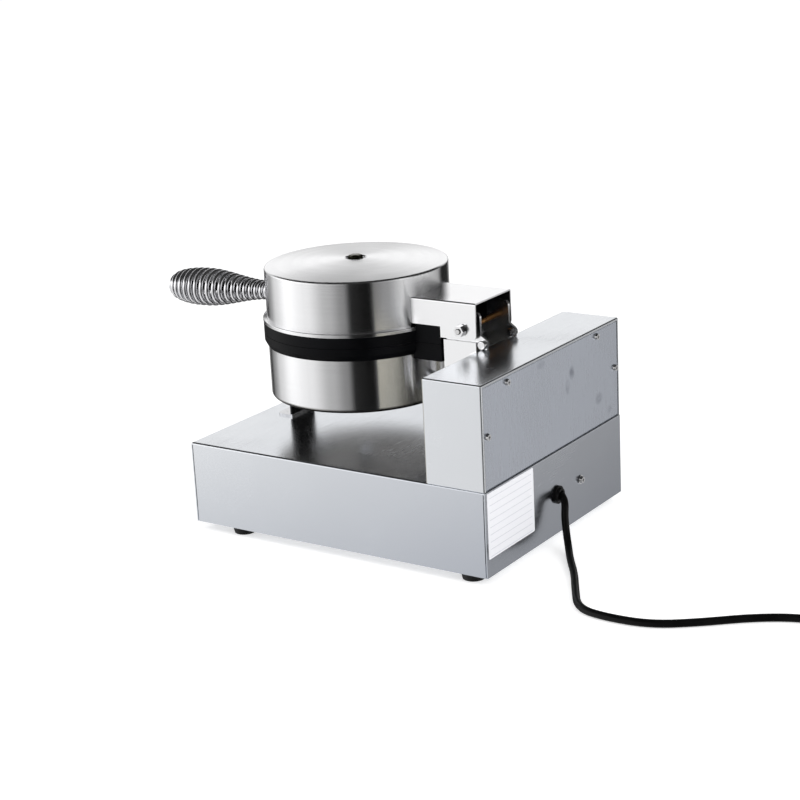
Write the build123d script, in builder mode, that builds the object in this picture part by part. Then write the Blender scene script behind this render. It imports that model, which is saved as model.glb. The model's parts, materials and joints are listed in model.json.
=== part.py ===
from build123d import *
import os
from math import atan2, cos, degrees, hypot, pi, radians, sin, sqrt, tan

# Commercial waffle maker. Millimetres, +Z up, resting on its feet at Z = 0.
# The handle and the control panel face -Y, the rear housing and the cord are at +Y.
# X = 0 is the middle of the machine, Y = 0 the middle of its length with the handle.

# Sheet-metal base
base_width = 270.0
base_depth = 352.0
base_height = 85.6
base_sheet = 1.2
base_bend = 2.2
seam_gap = 0.9
tray_sheet = 1.0
tray_lip = 14.0
sheet_clearance = 0.1

# Feet
foot_height = 9.0
foot_diameter = 26.0
foot_taper = 2.0
foot_side_inset = 17.0
foot_front_inset = 49.0
foot_rear_inset = 26.0

# Rear housing on the deck, and its cover
housing_depth = 64.8
housing_drop = 18.9
housing_sheet = 1.2
housing_bend = 1.6
housing_rim = 3.0
housing_return = 14.0
cover_sheet = 1.2
cover_gap = 0.8
cover_sink = 0.4
cover_top_screw_x = 88.0
cover_side_screw_drop = 51.4
cover_screw_inset = 5.2

# Round pan, lid and cast waffle plates, all on one vertical axis
pan_radius = 94.4
pan_setback = 52.1
pan_clearance = 37.5
pan_depth = 54.5
pan_sheet = 1.0
pan_edge = 4.0
plate_radius = 98.0
plate_rim = 12.8
plate_draft = 2.6
plate_web = 5.0
upper_rim = 10.7
parting_gap = 0.4
grid_radius = 88.0
grid_depth = 11.0
stud_pitch = 17.0
stud_foot = 12.6
stud_head = 9.0
stud_height = 8.0
cross_foot = 8.0
lid_height = 51.2
lid_crown = 4.6
lid_edge = 2.4
lip_height = 4.1
lip_radius = 98.3
dimple_radius = 10.5
dimple_depth = 6.5
dimple_edge = 1.2

# Heating parts behind each plate
heater_ring = 62.0
heater_tube = 8.0
clamp_sheet = 2.0
clamp_radius = 74.0
wool_thickness = 12.0
wool_radius = 84.0
lead_tube_rise = 22.0
lead_tube_radius = 6.0
stud_bolt = 8.0

# Hinge
hinge_setforward = 18.1
hinge_rise = 17.0
hinge_pin_diameter = 6.0
channel_half = 33.9
channel_sheet = 1.5
channel_top_rise = 27.9
channel_overhang = 16.9
channel_flange_drop = 9.5
channel_notch_rise = 1.5
channel_corner = 6.0
lug_reach = 121.1
lug_drop = 4.6
support_half = 31.9
support_gap = 2.2
ear_outer = 28.5
ear_base_rise = 2.4
ear_sheet = 3.0
ear_top_rise = 18.5
ear_front_half = 6.1
ear_rear_half = 18.4
ear_lobe_reach = 25.4
support_rise = 8.5
support_tab = 13.0
support_screw_inset = 12.0
stop_bolt_behind = 20.9
stop_bolt_below = 14.0
stop_head = 9.4

# Coil-spring handle
handle_length = 155.4
handle_droop = 2.58
handle_rise = 9.5
handle_rod = 8.0
spring_wire = 4.8
spring_root_radius = 7.3
spring_belly_radius = 18.1
spring_belly_at = 104.0
spring_tip_radius = 6.3
spring_root_pitch = 5.4
spring_belly_pitch = 8.1
spring_tip_pitch = 6.0
collar_diameter = 15.0
collar_length = 5.0

# Front bracket under the pan
bracket_width = 40.0
bracket_sheet = 2.0
bracket_arm = 34.0
bracket_foot = 20.0
bracket_setback = 14.0

# Controls on the front panel
control_height = 44.0
knob_diameter = 38.0
knob_length = 19.0
knob_turned = 0.4
knob_side_inset = 60.0
lamp_spacing = 44.0
shaft_diameter = 6.0

# Cord
cord_diameter = 7.4
cord_exit_height = 49.5
cord_gap = 0.5
earth_x = -47.4
earth_height = 50.0
coil_radius = 47.0
coil_tail = 57.0

# Fasteners and fits
screw_size = 4.0
screw_head = 7.4
screw_head_height = 2.6
nut_across = 7.0
earth_washer_sheet = 1.0
lug_bolt_size = 6.0
lug_bolt_depth = 12.0
fit_clearance = 0.05
seat_clearance = 0.3

# Heights
deck = foot_height + base_height
pan_floor = deck + pan_clearance
pan_rim = pan_floor + pan_depth
parting = pan_rim + plate_rim + parting_gap / 2
lower_face = parting - parting_gap / 2
upper_face = parting + parting_gap / 2
lid_seat = upper_face + upper_rim
lid_top = lid_seat + lip_height + lid_height
hinge_height = parting + hinge_rise
housing_top = hinge_height - housing_drop
housing_height = housing_top - deck

# Places along Y. The handle's tip and the earth screw's head lie equally far from Y = 0.
handle_reach = pan_setback + pan_radius + handle_length * cos(radians(handle_droop))
rear_reach = base_depth / 2 + earth_washer_sheet + screw_head_height
mid = (handle_reach - rear_reach) / 2
front = mid - base_depth / 2
rear = mid + base_depth / 2
pan_y = mid - pan_setback
housing_front = rear - housing_depth
hinge_y = housing_front - hinge_setforward
lug_end = pan_y + lug_reach
cover_face = rear - cover_sink
thermostat_x = knob_side_inset - base_width / 2
timer_x = -thermostat_x
ear_inner = ear_outer - ear_sheet
lug_bottom = pan_rim - lug_drop
support_bottom = pan_floor + support_rise
support_top = hinge_height - channel_flange_drop - support_gap
support_inner = support_half - ear_sheet
lead_tube_height = pan_floor + lead_tube_rise
bracket_web = pan_y - pan_radius + bracket_setback
bracket_toe = bracket_web - bracket_foot
bracket_screw_seat_y = bracket_toe + bracket_foot * 0.45
lug_bolt_spots = [(side * support_inner / 2, (lug_bottom + lower_face) / 2) for side in (-1, 1)]
tab_screw_x = support_half + support_tab / 2
tab_screw_heights = (support_bottom + support_screw_inset, housing_top - 2 * support_screw_inset)
tab_screw_spots = [(side * tab_screw_x, z) for side in (-1, 1) for z in tab_screw_heights]

# Handle frame: distances run along its drooping axis, away from the lid's wall
handle_root = Vector(0, pan_y - pan_radius, hinge_height + handle_rise)
handle_direction = Vector(0, -cos(radians(handle_droop)), -sin(radians(handle_droop)))

os.makedirs("parts", exist_ok=True)


def along_handle(distance):
    """Point on the handle's axis at a distance from the lid's wall."""
    return handle_root + handle_direction * distance


def keep(part, name):
    """Label one finished piece and write it as its own STEP file."""
    part.part.label = name
    export_step(part.part, f"parts/{name}.step")


def tilted(origin, direction, across=(1, 0, 0)):
    """A plane at origin whose normal is direction."""
    return Plane(origin=origin, x_dir=across, z_dir=direction)


def pan_head_screws(seats, direction, length, size=screw_size, head=screw_head):
    """Cross-recessed pan-head screws: heads on the seats, shanks against direction."""
    with BuildPart() as screws:
        for seat in seats:
            outward = tilted(seat, direction, (0, 0, 1) if abs(direction[2]) < 0.5 else (1, 0, 0))
            with BuildSketch(outward):
                Circle(head / 2)
            extrude(amount=screw_head_height, taper=14)
            with BuildSketch(outward.offset(screw_head_height)):
                Rectangle(head * 0.5, 0.9)
                Rectangle(0.9, head * 0.5)
            extrude(amount=-screw_head_height / 2, mode=Mode.SUBTRACT)
            with BuildSketch(outward):
                Circle(size / 2)
            extrude(amount=-length)
    return screws


def hex_nuts(seats, direction, bore, across, thickness):
    """Plain hexagon nuts standing on their seats along direction."""
    with BuildPart() as nuts:
        for seat in seats:
            with BuildSketch(tilted(seat, direction, (0, 0, 1) if abs(direction[2]) < 0.5 else (1, 0, 0))):
                RegularPolygon(across / 2, 6, major_radius=False)
                Circle(bore / 2, mode=Mode.SUBTRACT)
            extrude(amount=thickness)
    return nuts


# Base shell: deck and four flanges folded from one sheet, with open corner seams
with BuildPart() as base_shell:
    with BuildSketch(Plane.XY.offset(foot_height)):
        with Locations((0, mid)):
            Rectangle(base_width, base_depth)
    extrude(amount=base_height)
    fillet(base_shell.edges().group_by(Axis.Z)[-1], base_bend)
    with BuildSketch(Plane.XY.offset(foot_height)):
        with Locations((0, mid)):
            Rectangle(base_width - 2 * base_sheet, base_depth - 2 * base_sheet)
    extrude(amount=base_height - base_sheet, mode=Mode.SUBTRACT)
    with BuildSketch(Plane.XY.offset(foot_height)):
        for side_x in (-1, 1):
            for end_y in (-1, 1):
                seam_y = mid + end_y * (base_depth / 2 - base_sheet - seam_gap / 2)
                with Locations((side_x * base_width / 2, seam_y)):
                    Rectangle(4 * base_sheet, seam_gap)
    extrude(amount=base_height - base_bend, mode=Mode.SUBTRACT)
    with BuildSketch(Plane.XZ.offset(-rear)):
        with Locations((0, cord_exit_height)):
            Circle(cord_diameter)
        with Locations((earth_x, earth_height)):
            Circle(screw_size / 2 + fit_clearance)
    extrude(amount=2 * base_sheet, both=True, mode=Mode.SUBTRACT)
    with BuildSketch(Plane.XY.offset(deck)):
        with Locations((0, bracket_screw_seat_y)):
            Circle(screw_size / 2 + fit_clearance)
    extrude(amount=-2 * base_sheet, mode=Mode.SUBTRACT)
    with BuildSketch(Plane.XZ.offset(-front)):
        with Locations((thermostat_x, control_height), (timer_x, control_height)):
            Circle(shaft_diameter / 2 + seat_clearance)
        with Locations((-lamp_spacing / 2, control_height), (lamp_spacing / 2, control_height)):
            Circle(shaft_diameter)
    extrude(amount=2 * base_sheet, both=True, mode=Mode.SUBTRACT)
keep(base_shell, "base_shell")

# Bottom tray with vent slots and upturned lips, closed into the shell
inner_width = base_width - 2 * (base_sheet + sheet_clearance)
inner_depth = base_depth - 2 * (base_sheet + sheet_clearance)
foot_places = [
    (side * (base_width / 2 - foot_side_inset), y)
    for side in (-1, 1)
    for y in (front + foot_front_inset, rear - foot_rear_inset)
]
with BuildPart() as bottom_tray:
    with BuildSketch(Plane.XY.offset(foot_height)):
        with Locations((0, mid)):
            Rectangle(inner_width, inner_depth)
    extrude(amount=tray_lip)
    with BuildSketch(Plane.XY.offset(foot_height + tray_sheet)):
        with Locations((0, mid)):
            Rectangle(inner_width - 2 * tray_sheet, inner_depth - 2 * tray_sheet)
    extrude(amount=tray_lip, mode=Mode.SUBTRACT)
    with BuildSketch(Plane.XY.offset(foot_height)):
        with Locations((0, mid)):
            with GridLocations(base_width / 18, base_depth / 3, 9, 2):
                SlotOverall(base_depth / 6, 5.0, rotation=90)
        with Locations(*foot_places):
            Circle(screw_size / 2 + fit_clearance)
    extrude(amount=tray_sheet, mode=Mode.SUBTRACT)
keep(bottom_tray, "bottom_tray")

# Four rubber feet, each counterbored for its screw
foot_bore_depth = foot_height / 2
with BuildPart() as feet:
    with BuildSketch(Plane.XY.offset(foot_height)):
        with Locations(*foot_places):
            Circle(foot_diameter / 2)
    extrude(amount=-foot_height, taper=degrees(atan2(foot_taper, foot_height)))
    with BuildSketch(Plane.XY):
        with Locations(*foot_places):
            Circle(screw_head / 2 + seat_clearance)
    extrude(amount=foot_bore_depth, mode=Mode.SUBTRACT)
    with BuildSketch(Plane.XY.offset(foot_bore_depth)):
        with Locations(*foot_places):
            Circle(screw_size / 2 + fit_clearance)
    extrude(amount=foot_height, mode=Mode.SUBTRACT)
keep(feet, "feet")

tray_top = foot_height + tray_sheet
foot_screw_seats = [(x, y, foot_bore_depth) for x, y in foot_places]
foot_screws = pan_head_screws(foot_screw_seats, (0, 0, -1), foot_bore_depth + tray_sheet + 6)
keep(foot_screws, "foot_screws")
foot_nuts = hex_nuts([(x, y, tray_top) for x, y in foot_places], (0, 0, 1), screw_size + 2 * fit_clearance,
                     nut_across, 3.2)
keep(foot_nuts, "foot_nuts")

# Rear housing: a folded box standing on the deck, open behind, with a return flange for the cover
cover_width = base_width - 2 * (housing_rim + cover_gap)
cover_bottom = deck + cover_gap
cover_top = housing_top - housing_rim - cover_gap
cover_back = cover_face - cover_sheet
return_face = cover_back
cover_screws_at = [
    (-cover_top_screw_x, cover_top - cover_screw_inset),
    (cover_top_screw_x, cover_top - cover_screw_inset),
    (-cover_width / 2 + cover_screw_inset, housing_top - cover_side_screw_drop),
    (cover_width / 2 - cover_screw_inset, housing_top - cover_side_screw_drop),
]
inner_half = base_width / 2 - housing_sheet
with BuildPart() as rear_housing:
    with BuildSketch(Plane.XY.offset(deck)):
        with Locations((0, rear - housing_depth / 2)):
            Rectangle(base_width, housing_depth)
    extrude(amount=housing_height)
    fillet(rear_housing.edges().group_by(Axis.Z)[-1].filter_by(Axis.X), housing_bend)
    fillet(rear_housing.edges().group_by(Axis.Z)[-1].filter_by(Axis.Y), housing_bend)
    with BuildSketch(Plane.XZ.offset(-(housing_front + housing_sheet))):
        with Locations((0, deck + (housing_height - housing_sheet) / 2)):
            Rectangle(2 * inner_half, housing_height - housing_sheet)
    extrude(amount=-(return_face - housing_sheet - housing_front - housing_sheet), mode=Mode.SUBTRACT)
    with BuildSketch(Plane.XZ.offset(-(return_face - 2 * housing_sheet))):
        with Locations((0, (deck + housing_top - housing_return) / 2)):
            Rectangle(base_width - 2 * housing_return, housing_height - housing_return)
        with Locations(*cover_screws_at):
            Circle(screw_size / 2 + fit_clearance)
    extrude(amount=-housing_depth / 2, mode=Mode.SUBTRACT)
    with BuildSketch(Plane.XZ.offset(-return_face)):
        with Locations((0, (deck + housing_top - housing_rim) / 2)):
            Rectangle(base_width - 2 * housing_rim, housing_height - housing_rim)
    extrude(amount=-housing_depth / 2, mode=Mode.SUBTRACT)
    with BuildSketch(Plane.XZ.offset(-housing_front)):
        with Locations((0, lead_tube_height)):
            Circle(lead_tube_radius + fit_clearance)
        with Locations(*tab_screw_spots):
            Circle(screw_size / 2 + fit_clearance)
    extrude(amount=2 * housing_sheet, both=True, mode=Mode.SUBTRACT)
keep(rear_housing, "rear_housing")

# Flat rear cover, held by four screws into the return flange
with BuildPart() as rear_cover:
    with BuildSketch(Plane.XZ.offset(-cover_back)):
        with Locations((0, (cover_bottom + cover_top) / 2)):
            Rectangle(cover_width, cover_top - cover_bottom)
        with Locations(*cover_screws_at):
            Circle(screw_size / 2 + fit_clearance, mode=Mode.SUBTRACT)
    extrude(amount=-cover_sheet)
keep(rear_cover, "rear_cover")
cover_screws = pan_head_screws([(x, cover_face, z) for x, z in cover_screws_at], (0, 1, 0), 10.0)
keep(cover_screws, "rear_cover_screws")


# Lower pan: a deep-drawn cup, open at the top, with holes for its screws and its lead tube
upright = Axis((0, pan_y, 0), (0, 0, 1))
bracket_screw_y = pan_y - pan_radius + bracket_arm
with BuildPart() as lower_pan:
    with BuildSketch(Plane.XZ.offset(-pan_y)):
        with BuildLine():
            Polyline(
                (0, pan_floor), (pan_radius, pan_floor), (pan_radius, pan_rim),
                (pan_radius - pan_sheet, pan_rim), (pan_radius - pan_sheet, pan_floor + pan_sheet),
                (0, pan_floor + pan_sheet), close=True,
            )
        make_face()
    revolve(axis=upright)
    pan_circles = lower_pan.edges().filter_by(GeomType.CIRCLE).group_by(Axis.Z)
    fillet(pan_circles[0], pan_edge)
    pan_circles = lower_pan.edges().filter_by(GeomType.CIRCLE).filter_by_position(
        Axis.Z, pan_floor + pan_sheet - 0.01, pan_floor + pan_sheet + 0.01)
    fillet(pan_circles, pan_edge - pan_sheet)
    with BuildSketch(Plane.XY.offset(pan_floor)):
        with Locations((0, bracket_screw_y)):
            with GridLocations(bracket_width / 2, 1, 2, 1):
                Circle(screw_size / 2 + fit_clearance)
        with Locations((0, pan_y)):
            Circle(stud_bolt / 2 + fit_clearance)
    extrude(amount=pan_sheet, mode=Mode.SUBTRACT)
    with BuildSketch(Plane.XZ.offset(-pan_y)):
        with Locations((0, lead_tube_height)):
            Circle(lead_tube_radius + fit_clearance)
    extrude(amount=-2 * pan_radius, mode=Mode.SUBTRACT)
keep(lower_pan, "lower_pan")


def waffle_plate(face, back, draft, lug_blocks, lug_holes):
    """A cast plate with its sealing rim at face: a dish of studs, cross ridges and a rear lug.

    lug_blocks are (bottom, top, half width, clear radius about the pan's axis), and lug_holes
    are (x, height) of the bolt holes in the lug's end.
    """
    up = 1 if face > back else -1
    floor = face - up * grid_depth
    spigot = floor - up * plate_web
    spigot_radius = pan_radius - pan_sheet - seat_clearance
    lean = degrees(atan2((stud_foot - stud_head) / 2, stud_height))
    with BuildPart() as plate:
        with BuildSketch(Plane.XZ.offset(-pan_y)):
            with BuildLine():
                Polyline(
                    (0, spigot), (spigot_radius, spigot), (spigot_radius, back),
                    (plate_radius - draft, back), (plate_radius, back + up * 2 * draft),
                    (plate_radius, face), (grid_radius + 2, face), (grid_radius, floor),
                    (0, floor), close=True,
                )
            make_face()
        revolve(axis=upright)
        for bottom, top, half_width, clear_radius in lug_blocks:
            with BuildSketch(Plane.XY.offset(bottom)):
                with Locations((0, (pan_y + lug_end) / 2)):
                    Rectangle(2 * half_width, lug_end - pan_y)
                with Locations((0, pan_y)):
                    Circle(clear_radius, mode=Mode.SUBTRACT)
            extrude(amount=top - bottom)
        with BuildSketch(Plane.XY.offset(floor)):
            for stud_x, stud_y in stud_places():
                with Locations((stud_x, pan_y + stud_y)):
                    Rectangle(stud_foot, stud_foot)
        extrude(amount=up * stud_height, taper=lean)
        for span in ((2 * grid_radius - 3, cross_foot), (cross_foot, 2 * grid_radius - 3)):
            with BuildSketch(Plane.XY.offset(floor)):
                with Locations((0, pan_y)):
                    Rectangle(*span)
            extrude(amount=up * stud_height, taper=lean)
        with BuildSketch(Plane.XY.offset(spigot)):
            with Locations((0, pan_y)):
                Circle(stud_bolt)
        extrude(amount=-up * heater_tube)
        with BuildSketch(Plane.XY.offset(spigot - up * heater_tube)):
            with Locations((0, pan_y)):
                Circle(stud_bolt / 2)
        extrude(amount=up * (heater_tube + plate_web / 2), mode=Mode.SUBTRACT)
        if lug_holes:
            with BuildSketch(Plane.XZ.offset(-lug_end)):
                with Locations(*lug_holes):
                    Circle(lug_bolt_size / 2 + fit_clearance)
            extrude(amount=lug_bolt_depth, mode=Mode.SUBTRACT)
    return plate


def stud_places():
    """Centres of the studs about the plate's axis: square grids in four quadrants."""
    first = cross_foot / 2 + stud_pitch / 2
    places = []
    for quadrant_x in (-1, 1):
        for quadrant_y in (-1, 1):
            for column in range(int(grid_radius / stud_pitch)):
                for row in range(int(grid_radius / stud_pitch)):
                    x = first + column * stud_pitch
                    y = first + row * stud_pitch
                    if hypot(x + stud_foot / 2, y + stud_foot / 2) < grid_radius - 1:
                        places.append((quadrant_x * x, quadrant_y * y))
    return places


# Channel heights that the lugs fit into
channel_top = hinge_height + channel_top_rise
channel_inner_top = channel_top - channel_sheet
channel_inner_half = channel_half - channel_sheet
notch_height = hinge_height + channel_notch_rise

lower_plate = waffle_plate(lower_face, pan_rim, plate_draft, [
    (pan_rim, lower_face, channel_half, grid_radius + 4),
    (lug_bottom, pan_rim, channel_half, pan_radius + seat_clearance),
], lug_bolt_spots)
keep(lower_plate, "lower_plate")

upper_plate = waffle_plate(upper_face, lid_seat, seat_clearance, [
    (upper_face, lid_seat, channel_half, grid_radius + 4),
    (lid_seat, notch_height - seat_clearance, channel_half, lip_radius + seat_clearance),
    (notch_height - seat_clearance, channel_inner_top - seat_clearance,
     channel_inner_half - seat_clearance, lip_radius + seat_clearance),
], [])
keep(upper_plate, "upper_plate")


def crown(radius):
    """Height of the lid's slightly domed top at a distance from its axis."""
    return lid_top + lid_crown * (1 - (radius / pan_radius) ** 2)


# Lid shell: a deep-drawn cover with a stepped lip, a domed top and a pressed dimple for its nut
dimple_floor = crown(dimple_radius) - dimple_depth
dimple_wall = dimple_radius - 1.0
dimple_rim = dimple_radius + dimple_edge
inner_rim = dimple_rim + pan_sheet / 2
shoulder = lid_seat + lip_height
with BuildPart() as lid_shell:
    with BuildSketch(Plane.XZ.offset(-pan_y)):
        with BuildLine():
            Polyline(
                (dimple_rim, crown(dimple_rim)), (dimple_radius, crown(dimple_rim) - dimple_edge),
                (dimple_wall, dimple_floor), (stud_bolt / 2 + fit_clearance, dimple_floor),
                (stud_bolt / 2 + fit_clearance, dimple_floor - pan_sheet),
                (dimple_wall + pan_sheet, dimple_floor - pan_sheet),
                (dimple_radius + pan_sheet, crown(dimple_rim) - dimple_edge - pan_sheet / 2),
                (inner_rim, crown(inner_rim) - pan_sheet),
            )
            ThreePointArc(
                (inner_rim, crown(inner_rim) - pan_sheet),
                (pan_radius / 2, crown(pan_radius / 2) - pan_sheet),
                (pan_radius - pan_sheet, crown(pan_radius - pan_sheet) - pan_sheet),
            )
            Polyline(
                (pan_radius - pan_sheet, crown(pan_radius - pan_sheet) - pan_sheet),
                (pan_radius - pan_sheet, shoulder - pan_sheet),
                (lip_radius - pan_sheet, shoulder - pan_sheet),
                (lip_radius - pan_sheet, lid_seat), (lip_radius, lid_seat), (lip_radius, shoulder),
                (pan_radius, shoulder), (pan_radius, lid_top),
            )
            ThreePointArc(
                (pan_radius, lid_top), (pan_radius / 2, crown(pan_radius / 2)),
                (dimple_rim, crown(dimple_rim)),
            )
        make_face()
    revolve(axis=upright)
    top_edge = lid_shell.edges().filter_by(GeomType.CIRCLE).filter_by(
        lambda edge: abs(edge.radius - pan_radius) < 0.01 and edge.center().Z > lid_top - 0.01)
    fillet(top_edge, lid_edge)
    inner_edge = lid_shell.edges().filter_by(GeomType.CIRCLE).filter_by(
        lambda edge: abs(edge.radius - pan_radius + pan_sheet) < 0.01 and edge.center().Z > shoulder)
    fillet(inner_edge, lid_edge - pan_sheet)
    lip_edge = lid_shell.edges().filter_by(GeomType.CIRCLE).filter_by(
        lambda edge: abs(edge.radius - lip_radius) < 0.01)
    fillet(lip_edge, pan_sheet * 0.8)
    with BuildSketch(tilted(along_handle(-2 * collar_length), handle_direction)):
        Circle(handle_rod / 2 + fit_clearance)
    extrude(amount=4 * collar_length, mode=Mode.SUBTRACT)
keep(lid_shell, "lid_shell")


def heating_pack(spigot, away):
    """Tubular heater, clamp disc and wool disc stacked on a plate's back, in direction away."""
    with BuildPart() as heater:
        with BuildLine() as ring:
            CenterArc((0, 0), heater_ring, 105, 330)
        ring_start = ring.line @ 0
        middle = spigot + away * heater_tube / 2
        with BuildSketch(Plane(origin=(0, pan_y, middle)) * Plane(origin=ring_start, z_dir=ring.line % 0)):
            Circle(heater_tube / 2)
        sweep(path=ring.line.moved(Location((0, pan_y, middle))))
        with BuildSketch(Plane.XY.offset(middle)):
            for end in (ring.line @ 0, ring.line @ 1):
                with Locations((end.X, end.Y + pan_y)):
                    Circle(heater_tube / 4)
        extrude(amount=away * (heater_tube + wool_thickness))
    with BuildPart() as clamp:
        with BuildSketch(Plane.XY.offset(spigot + away * heater_tube)):
            with Locations((0, pan_y)):
                Circle(clamp_radius)
                Circle(stud_bolt / 2 + fit_clearance, mode=Mode.SUBTRACT)
                for end in (ring.line @ 0, ring.line @ 1):
                    with Locations((end.X, end.Y)):
                        Circle(heater_tube / 2, mode=Mode.SUBTRACT)
                with PolarLocations(heater_ring * 0.55, 6):
                    Circle(heater_tube, mode=Mode.SUBTRACT)
        extrude(amount=away * clamp_sheet)
    with BuildPart() as wool:
        with BuildSketch(Plane.XY.offset(spigot + away * (heater_tube + clamp_sheet))):
            with Locations((0, pan_y)):
                Circle(wool_radius)
                Circle(stud_bolt / 2 + nut_across, mode=Mode.SUBTRACT)
                for end in (ring.line @ 0, ring.line @ 1):
                    with Locations((end.X, end.Y)):
                        Circle(heater_tube / 2, mode=Mode.SUBTRACT)
        extrude(amount=away * wool_thickness)
    return heater, clamp, wool


def threaded_stud(start, end):
    """A plain-shank stud along the pan's axis."""
    with BuildPart() as stud:
        with BuildSketch(Plane.XY.offset(min(start, end))):
            with Locations((0, pan_y)):
                Circle(stud_bolt / 2)
        extrude(amount=abs(end - start))
    return stud


stud_nut_across = 13.0
stud_nut_height = 5.0
lower_spigot = lower_face - grid_depth - plate_web
lower_heater, lower_clamp, lower_wool = heating_pack(lower_spigot, -1)
keep(lower_heater, "lower_heater")
keep(lower_clamp, "lower_clamp_plate")
keep(lower_wool, "lower_insulation")
lower_stud = threaded_stud(lower_spigot + plate_web / 2, pan_floor - stud_nut_height - 2)
keep(lower_stud, "lower_stud")
clamp_back = lower_spigot - heater_tube - clamp_sheet
lower_nuts = hex_nuts(
    [(0, pan_y, clamp_back), (0, pan_y, pan_floor)], (0, 0, -1), stud_bolt + 2 * fit_clearance,
    stud_nut_across, stud_nut_height)
keep(lower_nuts, "lower_stud_nuts")

upper_spigot = upper_face + grid_depth + plate_web
upper_heater, upper_clamp, upper_wool = heating_pack(upper_spigot, 1)
keep(upper_heater, "upper_heater")
keep(upper_clamp, "upper_clamp_plate")
keep(upper_wool, "upper_insulation")
lid_stud = threaded_stud(upper_spigot - plate_web / 2, crown(0) - 1)
keep(lid_stud, "lid_stud")
upper_clamp_back = upper_spigot + heater_tube + clamp_sheet
with BuildPart() as lid_spacer:
    with BuildSketch(Plane.XY.offset(upper_clamp_back)):
        with Locations((0, pan_y)):
            Circle(stud_bolt)
            Circle(stud_bolt / 2 + fit_clearance, mode=Mode.SUBTRACT)
    extrude(amount=dimple_floor - pan_sheet - upper_clamp_back)
keep(lid_spacer, "lid_spacer")
lid_nut = hex_nuts([(0, pan_y, dimple_floor)], (0, 0, 1), stud_bolt + 2 * fit_clearance,
                   stud_nut_across, stud_nut_height)
keep(lid_nut, "lid_nut")


# Hinge channel: an inverted U welded to the lid's back, notched over the plate's lug
channel_end = hinge_y + channel_overhang
flange_bottom = hinge_height - channel_flange_drop
weld_gap = 0.1
with BuildPart() as hinge_channel:
    with BuildSketch(Plane.YZ.offset(-channel_half)) as channel_side:
        with BuildLine():
            Polyline(
                (pan_y, notch_height), (lug_end, notch_height), (lug_end, flange_bottom),
                (channel_end, flange_bottom), (channel_end, channel_top), (pan_y, channel_top), close=True,
            )
        make_face()
        corner = channel_side.vertices().sort_by(lambda vertex: vertex.Y - vertex.X)[0]
        fillet(corner, channel_corner)
    extrude(amount=2 * channel_half)
    long_edges = hinge_channel.edges().filter_by(Axis.Y).group_by(Axis.Z)[-1]
    fillet(long_edges, channel_sheet * 1.2)
    with BuildSketch(Plane.YZ.offset(-channel_inner_half)):
        with BuildLine():
            Polyline(
                (pan_y, flange_bottom - 1), (channel_end + 1, flange_bottom - 1),
                (channel_end + 1, channel_inner_top), (pan_y, channel_inner_top), close=True,
            )
        make_face()
    extrude(amount=2 * channel_inner_half, mode=Mode.SUBTRACT)
    with BuildSketch(Plane.XY.offset(shoulder)):
        with Locations((0, pan_y)):
            Circle(pan_radius + weld_gap)
    extrude(amount=channel_top, mode=Mode.SUBTRACT)
    with BuildSketch(Plane.YZ.offset(-channel_half)):
        with Locations((hinge_y, hinge_height)):
            Circle(hinge_pin_diameter / 2 + fit_clearance)
    extrude(amount=2 * channel_half, mode=Mode.SUBTRACT)
keep(hinge_channel, "hinge_channel")

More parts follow.
